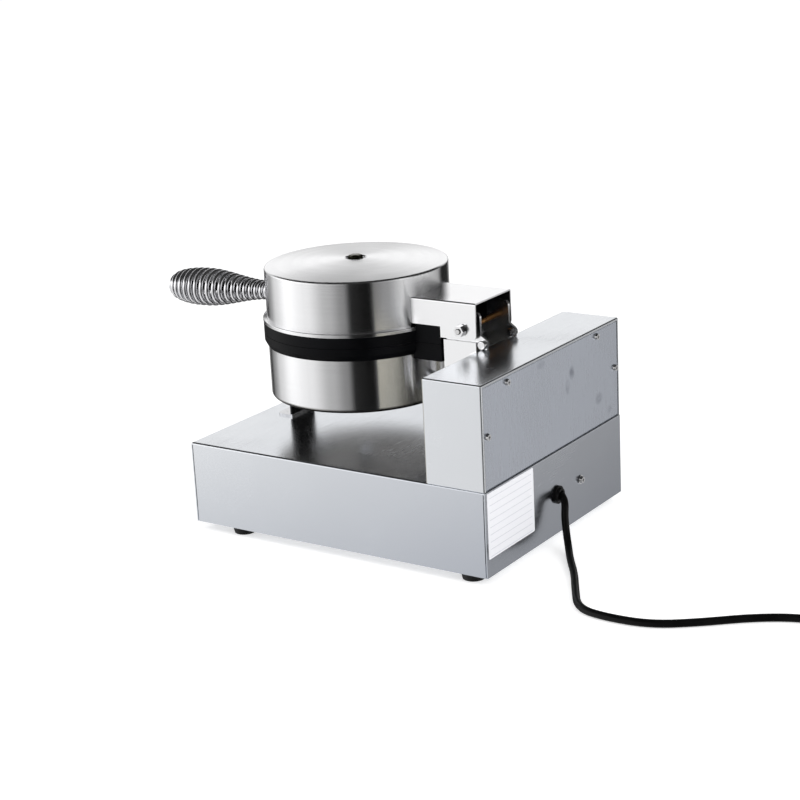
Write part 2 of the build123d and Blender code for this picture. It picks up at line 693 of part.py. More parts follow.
# Hinge support: a folded U between the lower lug and the housing, its sides joggled inwards at the
# top to pass inside the channel, with two ears for the pin
web_front = lug_end
stop_y = hinge_y + stop_bolt_behind
stop_height = hinge_height - stop_bolt_below
ear_top = hinge_height + ear_top_rise
lobe_end = hinge_y + ear_lobe_reach
shelf_end = stop_y - stop_head / 2 - 1.0
shelf_bottom = support_top - ear_sheet
side_notch = stop_height - stop_head / 2 - 1.0
ear_base = flange_bottom + ear_base_rise
with BuildPart() as hinge_support:
    with BuildSketch(Plane.YZ.offset(-support_half)):
        with BuildLine():
            Polyline(
                (web_front, support_bottom), (housing_front, support_bottom), (housing_front, side_notch),
                (shelf_end, side_notch), (shelf_end, support_top), (web_front, support_top), close=True,
            )
        make_face()
    extrude(amount=2 * support_half)
    with BuildSketch(Plane.XY.offset(support_bottom)):
        with Locations((0, (web_front + ear_sheet + housing_front) / 2)):
            Rectangle(2 * support_inner, housing_front - web_front - ear_sheet)
    extrude(amount=shelf_bottom - support_bottom, mode=Mode.SUBTRACT)
    with BuildSketch(Plane.XY.offset(shelf_bottom)):
        with Locations((0, (web_front + ear_sheet + housing_front) / 2)):
            Rectangle(2 * ear_inner, housing_front - web_front - ear_sheet)
    extrude(amount=ear_sheet, mode=Mode.SUBTRACT)
    fillet(hinge_support.edges().filter_by(Axis.Z).group_by(Axis.Y)[0], ear_sheet * 0.8)
    with BuildSketch(Plane.YZ.offset(-ear_outer)) as ear_side:
        with BuildLine():
            Polyline(
                (web_front + ear_sheet, shelf_bottom), (web_front + ear_sheet, ear_base),
                (hinge_y - ear_front_half, ear_base), (hinge_y - ear_front_half, ear_top),
                (hinge_y + ear_rear_half, ear_top), (hinge_y + ear_rear_half, stop_height + stop_head),
                (lobe_end, stop_height + stop_head / 2), (lobe_end, housing_top + seat_clearance),
                (housing_front, housing_top + seat_clearance), (housing_front, shelf_bottom), close=True,
            )
        make_face()
        fillet(ear_side.vertices().group_by(Axis.Y)[-1], ear_front_half)
    for side in (-ear_outer, ear_inner):
        with BuildSketch(Plane.YZ.offset(side)):
            add(ear_side.sketch_local)
        extrude(amount=ear_sheet)
    with BuildSketch(Plane.XY.offset(support_bottom)):
        for side in (-1, 1):
            with Locations((side * (support_half + support_tab / 2), housing_front - ear_sheet / 2)):
                Rectangle(support_tab, ear_sheet)
    extrude(amount=side_notch - support_bottom)
    with BuildSketch(Plane.YZ.offset(-ear_outer)):
        with Locations((hinge_y, hinge_height)):
            Circle(hinge_pin_diameter / 2 + fit_clearance)
        with Locations((stop_y, stop_height)):
            Circle(screw_size / 2 + fit_clearance)
    extrude(amount=2 * ear_outer, mode=Mode.SUBTRACT)
    with BuildSketch(Plane.XZ.offset(-web_front)):
        with Locations(*lug_bolt_spots):
            Circle(lug_bolt_size / 2 + fit_clearance)
        with Locations((0, lead_tube_height)):
            Circle(lead_tube_radius + fit_clearance)
    extrude(amount=-ear_sheet, mode=Mode.SUBTRACT)
    with BuildSketch(Plane.XZ.offset(-housing_front)):
        with Locations(*tab_screw_spots):
            Circle(screw_size / 2 + fit_clearance)
    extrude(amount=ear_sheet, mode=Mode.SUBTRACT)
keep(hinge_support, "hinge_support")

# Brass hinge pin with a washer and a nut outside each flange, and bushes inside
nut_seat = channel_half + 1.2
with BuildPart() as hinge_pin:
    with BuildSketch(Plane.YZ.offset(-nut_seat - 6)):
        with Locations((hinge_y, hinge_height)):
            Circle(hinge_pin_diameter / 2)
    extrude(amount=2 * (nut_seat + 6))
    chamfer(hinge_pin.edges().filter_by(GeomType.CIRCLE), 0.6)
keep(hinge_pin, "hinge_pin")


def pin_rings(start, end, radius):
    """A pair of mirrored rings on the hinge pin, between two distances from X = 0."""
    with BuildPart() as rings:
        for side in (-1, 1):
            with BuildSketch(Plane.YZ.offset(side * start)):
                with Locations((hinge_y, hinge_height)):
                    Circle(radius)
                    Circle(hinge_pin_diameter / 2 + fit_clearance, mode=Mode.SUBTRACT)
            extrude(amount=side * (end - start))
    return rings


hinge_bushes = pin_rings(ear_outer, channel_inner_half - seat_clearance, hinge_pin_diameter / 2 + 2.2)
keep(hinge_bushes, "hinge_bushes")
hinge_washers = pin_rings(channel_half + seat_clearance, nut_seat, 6.6)
keep(hinge_washers, "hinge_washers")
with BuildPart() as hinge_nuts:
    for side in (-1, 1):
        nut_plane = tilted((side * nut_seat, hinge_y, hinge_height), (side, 0, 0), (0, 1, 0))
        with BuildSketch(nut_plane):
            RegularPolygon(5.0, 6, major_radius=False)
            Circle(hinge_pin_diameter / 2 + fit_clearance, mode=Mode.SUBTRACT)
        extrude(amount=4.6)
keep(hinge_nuts, "hinge_nuts")

# Stop bolts on the ears, with nuts inside; the channel's top comes down on their heads
with BuildPart() as stop_bolts:
    for side in (-1, 1):
        head_plane = tilted((side * ear_outer, stop_y, stop_height), (side, 0, 0), (0, 1, 0))
        with BuildSketch(head_plane):
            Circle(stop_head / 2)
        extrude(amount=3.2)
        fillet(stop_bolts.edges().filter_by(GeomType.CIRCLE).filter_by(
            lambda edge, side=side: abs(edge.center().X - side * (ear_outer + 3.2)) < 0.01), 1.2)
        with BuildSketch(head_plane):
            Circle(screw_size / 2)
        extrude(amount=-(ear_sheet + 5))
keep(stop_bolts, "stop_bolts")
with BuildPart() as stop_nuts:
    for side in (-1, 1):
        with BuildSketch(Plane(origin=(side * ear_inner, stop_y, stop_height), x_dir=(0, 1, 0),
                               z_dir=(-side, 0, 0))):
            RegularPolygon(nut_across / 2, 6, major_radius=False)
            Circle(screw_size / 2 + fit_clearance, mode=Mode.SUBTRACT)
        extrude(amount=3.2)
keep(stop_nuts, "stop_nuts")

# Bolts from the support's web into the lower lug, and screws from its tabs into the housing
lug_bolt_places = [(x, web_front + ear_sheet, z) for x, z in lug_bolt_spots]
lug_bolts = pan_head_screws(lug_bolt_places, (0, 1, 0), ear_sheet + lug_bolt_depth, lug_bolt_size, 10.0)
keep(lug_bolts, "lug_bolts")
tab_screw_places = [(x, housing_front - ear_sheet, z) for x, z in tab_screw_spots]
tab_screws = pan_head_screws(tab_screw_places, (0, -1, 0), ear_sheet + housing_sheet + 6)
keep(tab_screws, "support_screws")
tab_nuts = hex_nuts([(x, housing_front + housing_sheet, z) for x, y, z in tab_screw_places], (0, 1, 0),
                    screw_size + 2 * fit_clearance, nut_across, 3.2)
keep(tab_nuts, "support_nuts")

# Tube that leads the lower heater's wires from the pan into the housing
with BuildPart() as lead_tube:
    with BuildSketch(Plane.XZ.offset(-(pan_y + pan_radius - 6))):
        with Locations((0, lead_tube_height)):
            Circle(lead_tube_radius)
            Circle(lead_tube_radius - 1, mode=Mode.SUBTRACT)
    extrude(amount=-(housing_front + 8 - pan_y - pan_radius + 6))
keep(lead_tube, "lead_tube")

# Front bracket: a folded strip that carries the pan's front edge on the deck
bracket_back = bracket_screw_y + bracket_foot / 2
with BuildPart() as front_bracket:
    with BuildSketch(Plane.YZ.offset(-bracket_width / 2)) as strip:
        with BuildLine():
            Polyline(
                (bracket_toe, deck), (bracket_web, deck), (bracket_web, pan_floor - bracket_sheet),
                (bracket_back, pan_floor - bracket_sheet), (bracket_back, pan_floor),
                (bracket_web - bracket_sheet, pan_floor), (bracket_web - bracket_sheet, deck + bracket_sheet),
                (bracket_toe, deck + bracket_sheet), close=True,
            )
        make_face()
    extrude(amount=bracket_width)
    bends = front_bracket.edges().filter_by(Axis.X)
    fillet(bends.filter_by_position(Axis.Y, bracket_web - 0.01, bracket_web + 0.01).group_by(Axis.Z)[-1],
           bracket_sheet * 0.5)
    fillet(front_bracket.edges().filter_by(Axis.Z).group_by(Axis.Y)[0], 6.0)
    with BuildSketch(Plane.XY.offset(deck)):
        with Locations((0, bracket_screw_seat_y)):
            Circle(screw_size / 2 + fit_clearance)
    extrude(amount=bracket_sheet, mode=Mode.SUBTRACT)
    with BuildSketch(Plane.XY.offset(pan_floor)):
        with Locations((0, bracket_screw_y)):
            with GridLocations(bracket_width / 2, 1, 2, 1):
                Circle(screw_size / 2 + fit_clearance)
    extrude(amount=-bracket_sheet, mode=Mode.SUBTRACT)
keep(front_bracket, "front_bracket")

bracket_screw_seat = (0, bracket_screw_seat_y, deck + bracket_sheet + 1.0)
bracket_screw = pan_head_screws([bracket_screw_seat], (0, 0, 1), 12.0)
keep(bracket_screw, "bracket_screw")
with BuildPart() as bracket_washer:
    with BuildSketch(Plane.XY.offset(deck + bracket_sheet)):
        with Locations((0, bracket_screw_seat[1])):
            Circle(screw_head / 2 + 1.6)
            Circle(screw_size / 2 + fit_clearance, mode=Mode.SUBTRACT)
    extrude(amount=1.0)
keep(bracket_washer, "bracket_washer")
pan_screw_places = [
    (side * bracket_width / 4, bracket_screw_y, pan_floor - bracket_sheet)
    for side in (-1, 1)
]
pan_screws = pan_head_screws(pan_screw_places, (0, 0, -1), 9.0)
keep(pan_screws, "pan_screws")
pan_nuts = hex_nuts([(x, y, pan_floor + pan_sheet) for x, y, z in pan_screw_places], (0, 0, 1),
                    screw_size + 2 * fit_clearance, nut_across, 3.2)
keep(pan_nuts, "pan_screw_nuts")


def spring_radius(s):
    """Radius of the wire's centreline: slim at the root, a round belly, drawn in at the tip."""
    start = collar_length + spring_wire
    end = handle_length - spring_wire
    if s < spring_belly_at:
        share = max(0.0, (s - start) / (spring_belly_at - start))
        swell = (1 - cos(pi * share ** 1.15)) / 2
        return spring_root_radius + (spring_belly_radius - spring_root_radius) * swell
    share = min(1.0, (s - spring_belly_at) / (end - spring_belly_at))
    return spring_tip_radius + (spring_belly_radius - spring_tip_radius) * sqrt(max(0.0, 1 - share ** 2.4))


def spring_pitch(s):
    """Distance along the axis from turn to turn, widest before the belly."""
    if s < spring_belly_at:
        share = s / spring_belly_at
        return spring_root_pitch + (spring_belly_pitch - spring_root_pitch) * sin(pi / 2 * share)
    share = (s - spring_belly_at) / (handle_length - spring_belly_at)
    return spring_belly_pitch + (spring_tip_pitch - spring_belly_pitch) * share


def spring_points(steps_per_turn):
    """Points of the wire's centreline from root to tip, in a frame with the handle's axis as Z."""
    points = []
    s = collar_length + spring_wire / 2 + 0.1
    turn = 0.0
    while s < handle_length - spring_wire / 2 - 1.4:
        radius = spring_radius(s)
        angle = 2 * pi * turn
        points.append(Vector(radius * cos(angle), -radius * sin(angle), s))
        slope = abs(spring_radius(s + 0.5) - spring_radius(s - 0.5))
        s += spring_pitch(s) / sqrt(1 + slope ** 2) / steps_per_turn
        turn += 1 / steps_per_turn
    return points


def tangents_of(points):
    """Unit tangents by central differences, one-sided at the two ends."""
    result = []
    for index, point in enumerate(points):
        before = points[max(index - 1, 0)]
        after = points[min(index + 1, len(points) - 1)]
        result.append((after - before).normalized())
    return result


def biarc(start, start_tangent, end, end_tangent):
    """Two tangent arcs from start to end, returned as three-point tuples."""
    chord = end - start
    total = start_tangent + end_tangent
    turn = 2 * (1 - start_tangent.dot(end_tangent))
    along = chord.dot(total)
    reach = (-along + sqrt(along ** 2 + turn * chord.dot(chord))) / turn
    joint = (start + start_tangent * reach + end - end_tangent * reach) * 0.5
    return [arc_points(start, joint, start_tangent), arc_points(joint, end, end_tangent * -1, True)]


def arc_points(first, last, tangent, at_last=False):
    """Start, middle and end of the arc from first to last that is tangent at one end."""
    chord = last - first
    if at_last:
        chord = chord * -1
    half = chord.length / 2
    bend = chord.get_angle(tangent)
    normal = (tangent - chord.normalized() * tangent.dot(chord.normalized())).normalized()
    middle = (first + last) * 0.5 + normal * (half * tan(radians(bend) / 2))
    return first, middle, last


def least_gap(points, thickness):
    """Smallest free gap between stretches of a round wire at least three wires apart along it."""
    run = [0.0]
    for point, following in zip(points, points[1:]):
        run.append(run[-1] + (following - point).length)
    gap = run[-1]
    for index, point in enumerate(points):
        for later in range(index + 1, len(points)):
            if run[later] - run[index] > 3 * thickness:
                gap = min(gap, (points[later] - point).length - thickness)
    return gap


# Coil-spring handle: one unbroken wire swept along quarter-turn biarcs, then set on the lid
fine_steps = 64
spring_line = spring_points(fine_steps)
spring_tangents = tangents_of(spring_line)
quarter = fine_steps // 4
knots = list(range(0, len(spring_line), quarter))
with BuildPart() as wound_wire:
    with BuildLine() as spring_path:
        for first, last in zip(knots, knots[1:]):
            tangents = (spring_tangents[first], spring_tangents[last])
            for arc in biarc(spring_line[first], tangents[0], spring_line[last], tangents[1]):
                ThreePointArc(*arc)
    with BuildSketch(tilted(spring_path.line @ 0, spring_path.line % 0, (0, 0, 1))):
        RegularPolygon(spring_wire / 2, 8, major_radius=False)
    sweep(path=spring_path.line, clean=False)
with BuildPart() as handle_spring:
    add(wound_wire.part.moved(tilted(handle_root, handle_direction).location), clean=False)
keep(handle_spring, "handle_spring")
spring_gap = least_gap(spring_line[::4], spring_wire)
print(f"spring: {(len(knots) - 1) / 4} turns, least gap to itself {spring_gap:.2f} mm")

# Rod through the spring, the collar at its root, and the nuts that hold it
rod_inside = 8.0
cap_length = 4.0
with BuildPart() as handle_rod_part:
    with BuildSketch(tilted(along_handle(-rod_inside), handle_direction)):
        Circle(handle_rod / 2)
    extrude(amount=rod_inside + handle_length - cap_length)
keep(handle_rod_part, "handle_rod")
with BuildPart() as handle_collar:
    with BuildSketch(tilted(along_handle(-1), handle_direction)):
        Circle(collar_diameter / 2)
        Circle(handle_rod / 2 + fit_clearance, mode=Mode.SUBTRACT)
    extrude(amount=collar_length + 1)
    with BuildSketch(Plane.XY.offset(shoulder)):
        with Locations((0, pan_y)):
            Circle(pan_radius + weld_gap)
    extrude(amount=lid_height, mode=Mode.SUBTRACT)
keep(handle_collar, "handle_collar")
with BuildPart() as handle_nuts:
    for seat, thickness in ((handle_length - cap_length, cap_length), (-2 * pan_sheet, -rod_inside / 2)):
        with BuildSketch(tilted(along_handle(seat), handle_direction)):
            RegularPolygon(handle_rod / 2 + 2.2 if thickness < 0 else handle_rod / 2, 6, major_radius=False)
            if thickness < 0:
                Circle(handle_rod / 2 + fit_clearance, mode=Mode.SUBTRACT)
        extrude(amount=thickness)
keep(handle_nuts, "handle_nuts")


# Controls behind the front panel: two knobs on shafts, two lamps, all on one level
panel_back = front + base_sheet


def control_body(x, width, height, depth):
    """A control's housing behind the panel with its shaft through the panel."""
    with BuildPart() as body:
        with BuildSketch(Plane.XZ.offset(-panel_back)):
            with Locations((x, control_height)):
                RectangleRounded(width, height, 3)
        extrude(amount=-depth)
        with BuildSketch(Plane.XZ.offset(-panel_back)):
            with Locations((x, control_height)):
                Circle(shaft_diameter / 2)
        extrude(amount=base_sheet + knob_length / 2)
    return body


def control_knob(x):
    """A skirted, fluted knob with a raised pointer ridge, bored for its shaft."""
    with BuildPart() as knob:
        with BuildSketch(Plane.XZ.offset(-front + knob_turned)):
            with Locations((x, control_height)):
                Circle(knob_diameter / 2)
        extrude(amount=knob_length * 0.3)
        with BuildSketch(Plane.XZ.offset(-front + knob_turned + knob_length * 0.3)):
            with Locations((x, control_height)):
                Circle(knob_diameter * 0.36)
                with PolarLocations(knob_diameter * 0.39, 12):
                    Circle(knob_diameter * 0.05, mode=Mode.SUBTRACT)
        extrude(amount=knob_length * 0.7, taper=4)
        with BuildSketch(Plane.XZ.offset(-front + knob_turned + knob_length * 0.3)):
            with Locations((x, control_height + knob_diameter * 0.2)):
                Rectangle(2.4, knob_diameter * 0.5)
        extrude(amount=knob_length * 0.7 + 0.8)
        with BuildSketch(Plane.XZ.offset(-front + knob_turned)):
            with Locations((x, control_height)):
                Circle(shaft_diameter / 2 + fit_clearance)
        extrude(amount=knob_length / 2, mode=Mode.SUBTRACT)
    return knob


thermostat = control_body(thermostat_x, 42.0, 38.0, 30.0)
keep(thermostat, "thermostat")
timer = control_body(timer_x, 46.0, 38.0, 34.0)
keep(timer, "timer")
thermostat_knob = control_knob(thermostat_x)
keep(thermostat_knob, "thermostat_knob")
timer_knob = control_knob(timer_x)
keep(timer_knob, "timer_knob")

# Two pilot lamps: domed lenses with a bezel, clipped through the panel
with BuildPart() as pilot_lamps:
    for x in (-lamp_spacing / 2, lamp_spacing / 2):
        with BuildSketch(Plane.XZ.offset(-panel_back)):
            with Locations((x, control_height)):
                Circle(shaft_diameter - fit_clearance)
        extrude(amount=-22)
        with BuildSketch(Plane.XZ.offset(-panel_back)):
            with Locations((x, control_height)):
                Circle(shaft_diameter - fit_clearance)
        extrude(amount=base_sheet)
        with BuildSketch(Plane.XZ.offset(-front)):
            with Locations((x, control_height)):
                Circle(shaft_diameter + 1.6)
        extrude(amount=1.6)
        with BuildSketch(Plane.XZ.offset(-front + 1.6)):
            with Locations((x, control_height)):
                Circle(shaft_diameter * 0.8)
        extrude(amount=4.4, taper=24)
keep(pilot_lamps, "pilot_lamps")

# Terminal block on the tray, and the earth stud on the rear flange
block_y = rear - 70.0
with BuildPart() as terminal_block:
    with BuildSketch(Plane.XY.offset(tray_top)):
        with Locations((0, block_y)):
            Rectangle(60, 24)
    extrude(amount=10)
    with BuildSketch(Plane.XY.offset(tray_top + 10)):
        with Locations((0, block_y)):
            Rectangle(60, 12)
    extrude(amount=10)
    with BuildSketch(Plane.XY.offset(tray_top + 20)):
        with Locations((0, block_y)):
            with GridLocations(14, 1, 4, 1):
                Circle(2.4)
    extrude(amount=-8, mode=Mode.SUBTRACT)
keep(terminal_block, "terminal_block")

earth_seat = (earth_x, rear + earth_washer_sheet, earth_height)
earth_screw = pan_head_screws([earth_seat], (0, 1, 0), base_sheet + 12)
keep(earth_screw, "earth_screw")
with BuildPart() as earth_washer:
    with BuildSketch(Plane.XZ.offset(-rear)):
        with Locations((earth_x, earth_height)):
            Circle(screw_head / 2 + 1)
            Circle(screw_size / 2 + fit_clearance, mode=Mode.SUBTRACT)
    extrude(amount=-earth_washer_sheet)
keep(earth_washer, "earth_washer")

# Cord bushing: a nylon strain relief snapped into the rear flange, with an open mouth where the cord
# turns down
bushing_radius = cord_diameter - fit_clearance
bushing_out = 5.0
bushing_inside = 16.0
mouth_clearance = 1.2
mouth_depth = 2.3
with BuildPart() as cord_bushing:
    with BuildSketch(Plane.XZ.offset(-rear)):
        with Locations((0, cord_exit_height)):
            Circle(bushing_radius + 1.8)
    extrude(amount=-2.5)
    with BuildSketch(Plane.XZ.offset(-rear - 2.5)):
        with Locations((0, cord_exit_height)):
            Circle(bushing_radius)
    extrude(amount=-(bushing_out - 2.5), taper=14)
    with BuildSketch(Plane.XZ.offset(-rear)):
        with Locations((0, cord_exit_height)):
            Circle(bushing_radius)
    extrude(amount=bushing_inside, taper=3)
    with BuildSketch(Plane.XZ.offset(-rear - bushing_out)):
        with Locations((0, cord_exit_height)):
            Circle(cord_diameter / 2 + mouth_clearance)
    extrude(amount=mouth_depth, mode=Mode.SUBTRACT)
keep(cord_bushing, "cord_bushing")

# Power cord: its free stretch runs down to the floor and past the machine to a put-away coil
cord_radius = cord_diameter / 2
lie = cord_radius + 0.1
cord_turn_pitch = cord_diameter + cord_gap
coil_x = 25.0
coil_y = rear + 336.0
coil_start_x = coil_x + coil_radius
cord_points = [
    (0, rear + bushing_out, cord_exit_height),
    (7.0, rear + 16.5, 48.0),
    (10.0, rear + 16.0, 33.5),
    (14.0, rear + 18.5, 17.0),
    (26.0, rear + 26.0, 6.0),
    (45.0, rear + 38.0, lie),
    (75.0, rear + 59.0, lie),
    (108.0, rear + 78.0, lie),
    (137.0, rear + 99.0, lie),
    (152.0, rear + 134.0, lie),
    (148.0, rear + 176.0, lie),
    (124.0, rear + 212.0, lie),
    (97.0, rear + 244.0, lie),
    (78.0, rear + 277.0, lie),
    (coil_start_x, rear + 308.0, lie),
    (coil_start_x, coil_y, lie),
]


def corner_radii(points):
    """Each corner's arc takes 0.45 of the shorter run beside it."""
    vectors = [Vector(*point) for point in points]
    radii = []
    for before, corner, after in zip(vectors, vectors[1:], vectors[2:]):
        run_in = corner - before
        run_out = after - corner
        turn = radians(run_in.get_angle(run_out))
        radii.append(0.45 * min(run_in.length, run_out.length) / tan(turn / 2))
    return radii


cord_radii = corner_radii(cord_points)
with BuildPart() as power_cord:
    with BuildLine() as cord_path:
        FilletPolyline(*cord_points, radius=cord_radii)
    with BuildSketch(Plane(origin=cord_path.line @ 0, z_dir=cord_path.line % 0)):
        Circle(cord_radius)
    sweep(path=cord_path.line)
keep(power_cord, "power_cord")
print("cord arc radii, mm:", [round(radius, 1) for radius in cord_radii])
print("cord free stretch, mm:", round(sum(edge.length for edge in cord_path.edges()), 1))

# Coil: half turns spiral in, climb one layer where they reverse, and spiral out again
half_turns = 8
climb_at = half_turns // 2
with BuildPart() as cord_coil:
    with BuildLine() as coil_path:
        place = Vector(coil_start_x, coil_y, lie)
        side = 1
        for step in range(half_turns):
            radius = coil_radius - cord_turn_pitch / 2 * min(step, half_turns - step)
            far = place - Vector(2 * side * radius, 0, 0)
            if step == climb_at:
                far = far + Vector(0, 0, cord_turn_pitch)
                for arc in biarc(place, Vector(0, side, 0), far, Vector(0, -side, 0)):
                    ThreePointArc(*arc)
            else:
                ThreePointArc(place, (place + far) * 0.5 + Vector(0, side * radius, 0), far)
            place = far
            side = -side
        quarter_end = place + Vector(-coil_tail, coil_tail, 0)
        TangentArc(place, quarter_end, tangent=(0, 1, 0))
        coil_end = quarter_end - Vector(cord_diameter, 0, 0)
        Line(quarter_end, coil_end)
    with BuildSketch(tilted(coil_path.line @ 0, coil_path.line % 0, (0, 0, 1))):
        RegularPolygon(cord_radius, 10, major_radius=False)
    sweep(path=coil_path.line, clean=False)
keep(cord_coil, "cord_coil")
coil_samples = [edge @ (index / 24) for edge in coil_path.edges() for index in range(24)]
coil_length = sum(edge.length for edge in coil_path.edges())
print(f"coil, mm: {coil_length:.1f}, least gap to itself {least_gap(coil_samples, cord_diameter):.2f}")

# Plug on the floor beside the coil: moulded body with a tapered relief, two blades and a round pin
plug_x = coil_end.X
plug_y = coil_end.Y
plug_z = coil_end.Z
plug_relief = 24.0
plug_body = 34.0
with BuildPart() as plug:
    with BuildSketch(Plane(origin=(plug_x, plug_y, plug_z), x_dir=(0, 1, 0), z_dir=(-1, 0, 0))):
        Circle(cord_radius + 1.2)
    extrude(amount=plug_relief, taper=-4)
    with BuildSketch(Plane(origin=(plug_x - plug_relief, plug_y, plug_z), x_dir=(0, 1, 0), z_dir=(-1, 0, 0))):
        RectangleRounded(27, 2 * plug_z - 0.2, 8)
    extrude(amount=plug_body)
    fillet(plug.faces().sort_by(Axis.X)[0].edges(), 2.0)
    pins = Plane(origin=(plug_x - plug_relief - plug_body, plug_y, plug_z), x_dir=(0, 1, 0), z_dir=(-1, 0, 0))
    with BuildSketch(pins):
        with Locations((-6.3, -3), (6.3, -3)):
            Rectangle(1.5, 6.4)
        with Locations((0, 5)):
            Circle(2.4)
    extrude(amount=17)
keep(plug, "plug")
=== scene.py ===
import json
from math import cos, pi, radians, sin, sqrt

import bpy
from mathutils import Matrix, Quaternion, Vector


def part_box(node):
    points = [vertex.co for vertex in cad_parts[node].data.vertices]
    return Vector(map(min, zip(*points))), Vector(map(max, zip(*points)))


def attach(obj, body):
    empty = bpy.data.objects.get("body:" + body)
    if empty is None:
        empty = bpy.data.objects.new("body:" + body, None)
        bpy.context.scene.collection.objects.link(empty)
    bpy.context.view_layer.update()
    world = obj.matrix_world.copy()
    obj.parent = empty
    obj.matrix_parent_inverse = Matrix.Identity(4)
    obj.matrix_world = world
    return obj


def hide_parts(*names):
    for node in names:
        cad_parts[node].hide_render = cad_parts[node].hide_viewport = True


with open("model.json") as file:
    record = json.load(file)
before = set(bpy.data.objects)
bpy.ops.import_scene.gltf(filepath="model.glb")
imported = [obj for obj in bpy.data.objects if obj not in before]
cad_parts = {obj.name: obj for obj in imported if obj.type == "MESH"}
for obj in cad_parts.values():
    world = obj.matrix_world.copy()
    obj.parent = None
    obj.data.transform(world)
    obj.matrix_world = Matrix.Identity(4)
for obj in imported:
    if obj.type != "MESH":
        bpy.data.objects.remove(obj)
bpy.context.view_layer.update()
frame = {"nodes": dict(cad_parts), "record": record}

# The frame is in metres: the handle faces -Y, the rear cover and the cord +Y.
MM = 0.001
base_low, base_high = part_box("base_shell")
pan_low, pan_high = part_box("lower_pan")
housing_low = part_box("rear_housing")[0]
front = base_low.y
rear = base_high.y
mid = (front + rear) / 2
deck = base_high.z
pan_y = (pan_low.y + pan_high.y) / 2
scene = bpy.context.scene
scene.view_settings.view_transform = "Standard"

# Camera, fitted to the photograph's edges of the base, the housing and the pan
CAMERA_PLACE = Vector((1.5206, mid + 1.0424, deck + 0.5881))
CAMERA_AZIMUTH = 34.596
CAMERA_ELEVATION = 16.836
CAMERA_ROLL = -2.967
CAMERA_LENS = 84.45


def make_camera():
    """The photograph's view; away points from the object to the camera."""
    data = bpy.data.cameras.new("camera")
    data.sensor_width = 36.0
    data.lens = CAMERA_LENS
    data.clip_end = 50.0
    camera = bpy.data.objects.new("camera", data)
    scene.collection.objects.link(camera)
    turn = radians(CAMERA_AZIMUTH)
    lift = radians(CAMERA_ELEVATION)
    away = Vector((cos(lift) * cos(turn), cos(lift) * sin(turn), sin(lift)))
    camera.location = CAMERA_PLACE
    camera.rotation_mode = "QUATERNION"
    camera.rotation_quaternion = away.to_track_quat("Z", "Y") @ Quaternion((0, 0, 1), radians(CAMERA_ROLL))
    scene.camera = camera


make_camera()

# Power cord: the route follows the photograph's line, as x, the distance behind the rear flange and the
# height in millimetres; a loop works out the coil's turns as in the CAD source
CORD_DIAMETER = 7.4 * MM
CORD_LIE = 3.8 * MM
COIL_X = 25 * MM
COIL_Y = rear + 336 * MM
COIL_RADIUS = 47 * MM
COIL_TAIL = 57 * MM
TURN_PITCH = 7.9 * MM
HALF_TURNS = 8
CORD_ROUTE = [
    (0, 5, 49.5),
    (8, 13.5, 48),
    (13, 15, 33),
    (15.5, 18, 17),
    (26, 26, 6),
    (45, 38, 3.8),
    (75, 59, 3.8),
    (108, 78, 3.8),
    (146, 101, 3.8),
    (152, 134, 3.8),
    (148, 176, 3.8),
    (124, 212, 3.8),
    (97, 244, 3.8),
    (78, 277, 3.8),
    (72, 308, 3.8),
]


def coil_points(steps):
    """Control points of the put-away coil: half turns that close in, climb one layer and open out."""
    points = []
    place = Vector((COIL_X + COIL_RADIUS, COIL_Y, CORD_LIE))
    side = 1
    for half in range(HALF_TURNS):
        radius = COIL_RADIUS - TURN_PITCH / 2 * min(half, HALF_TURNS - half)
        centre = place - Vector((side * radius, 0, 0))
        climb = TURN_PITCH if half == HALF_TURNS // 2 else 0
        for step in range(steps):
            angle = pi * step / steps
            swing = Vector((side * radius * cos(angle), side * radius * sin(angle), climb * step / steps))
            points.append(centre + swing)
        place = centre - Vector((side * radius, 0, -climb))
        side = -side
    centre = place - Vector((COIL_TAIL, 0, 0))
    for step in range(steps // 2 + 1):
        angle = pi * step / steps
        points.append(centre + Vector((COIL_TAIL * cos(angle), COIL_TAIL * sin(angle), 0)))
    points.append(points[-1] - Vector((CORD_DIAMETER, 0, 0)))
    return points


def make_cord():
    """One unbroken cord from the bushing to the plug."""
    points = [Vector((x * MM, rear + y * MM, z * MM)) for x, y, z in CORD_ROUTE] + coil_points(8)
    curve = bpy.data.curves.new("power_cord_line", "CURVE")
    curve.dimensions = "3D"
    curve.bevel_depth = 1.0
    curve.bevel_resolution = 5
    curve.resolution_u = 6
    curve.use_fill_caps = True
    spline = curve.splines.new("NURBS")
    spline.points.add(len(points) - 1)
    for control, point in zip(spline.points, points):
        control.co = (*point, 1)
        control.radius = CORD_DIAMETER / 2
    spline.order_u = 3
    spline.use_endpoint_u = True
    cord = bpy.data.objects.new("cord", curve)
    scene.collection.objects.link(cord)
    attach(cord, "base")
    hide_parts("power_cord", "cord_coil")
    return cord


cord = make_cord()


# Shader helpers
def new_material(name):
    """An empty node material with a Principled shader on its output."""
    material = bpy.data.materials.new(name)
    material.use_nodes = True
    nodes = material.node_tree.nodes
    nodes.clear()
    output = nodes.new("ShaderNodeOutputMaterial")
    shader = nodes.new("ShaderNodeBsdfPrincipled")
    material.node_tree.links.new(shader.outputs["BSDF"], output.inputs["Surface"])
    return material, shader


def link(material, source, target):
    """Joins two sockets."""
    material.node_tree.links.new(source, target)


def object_place(material, scale=(1, 1, 1), turn=(0, 0, 0)):
    """Object coordinates, stretched and turned."""
    coordinates = material.node_tree.nodes.new("ShaderNodeTexCoord")
    mapping = material.node_tree.nodes.new("ShaderNodeMapping")
    mapping.inputs["Scale"].default_value = scale
    mapping.inputs["Rotation"].default_value = turn
    link(material, coordinates.outputs["Object"], mapping.inputs["Vector"])
    return mapping.outputs["Vector"]


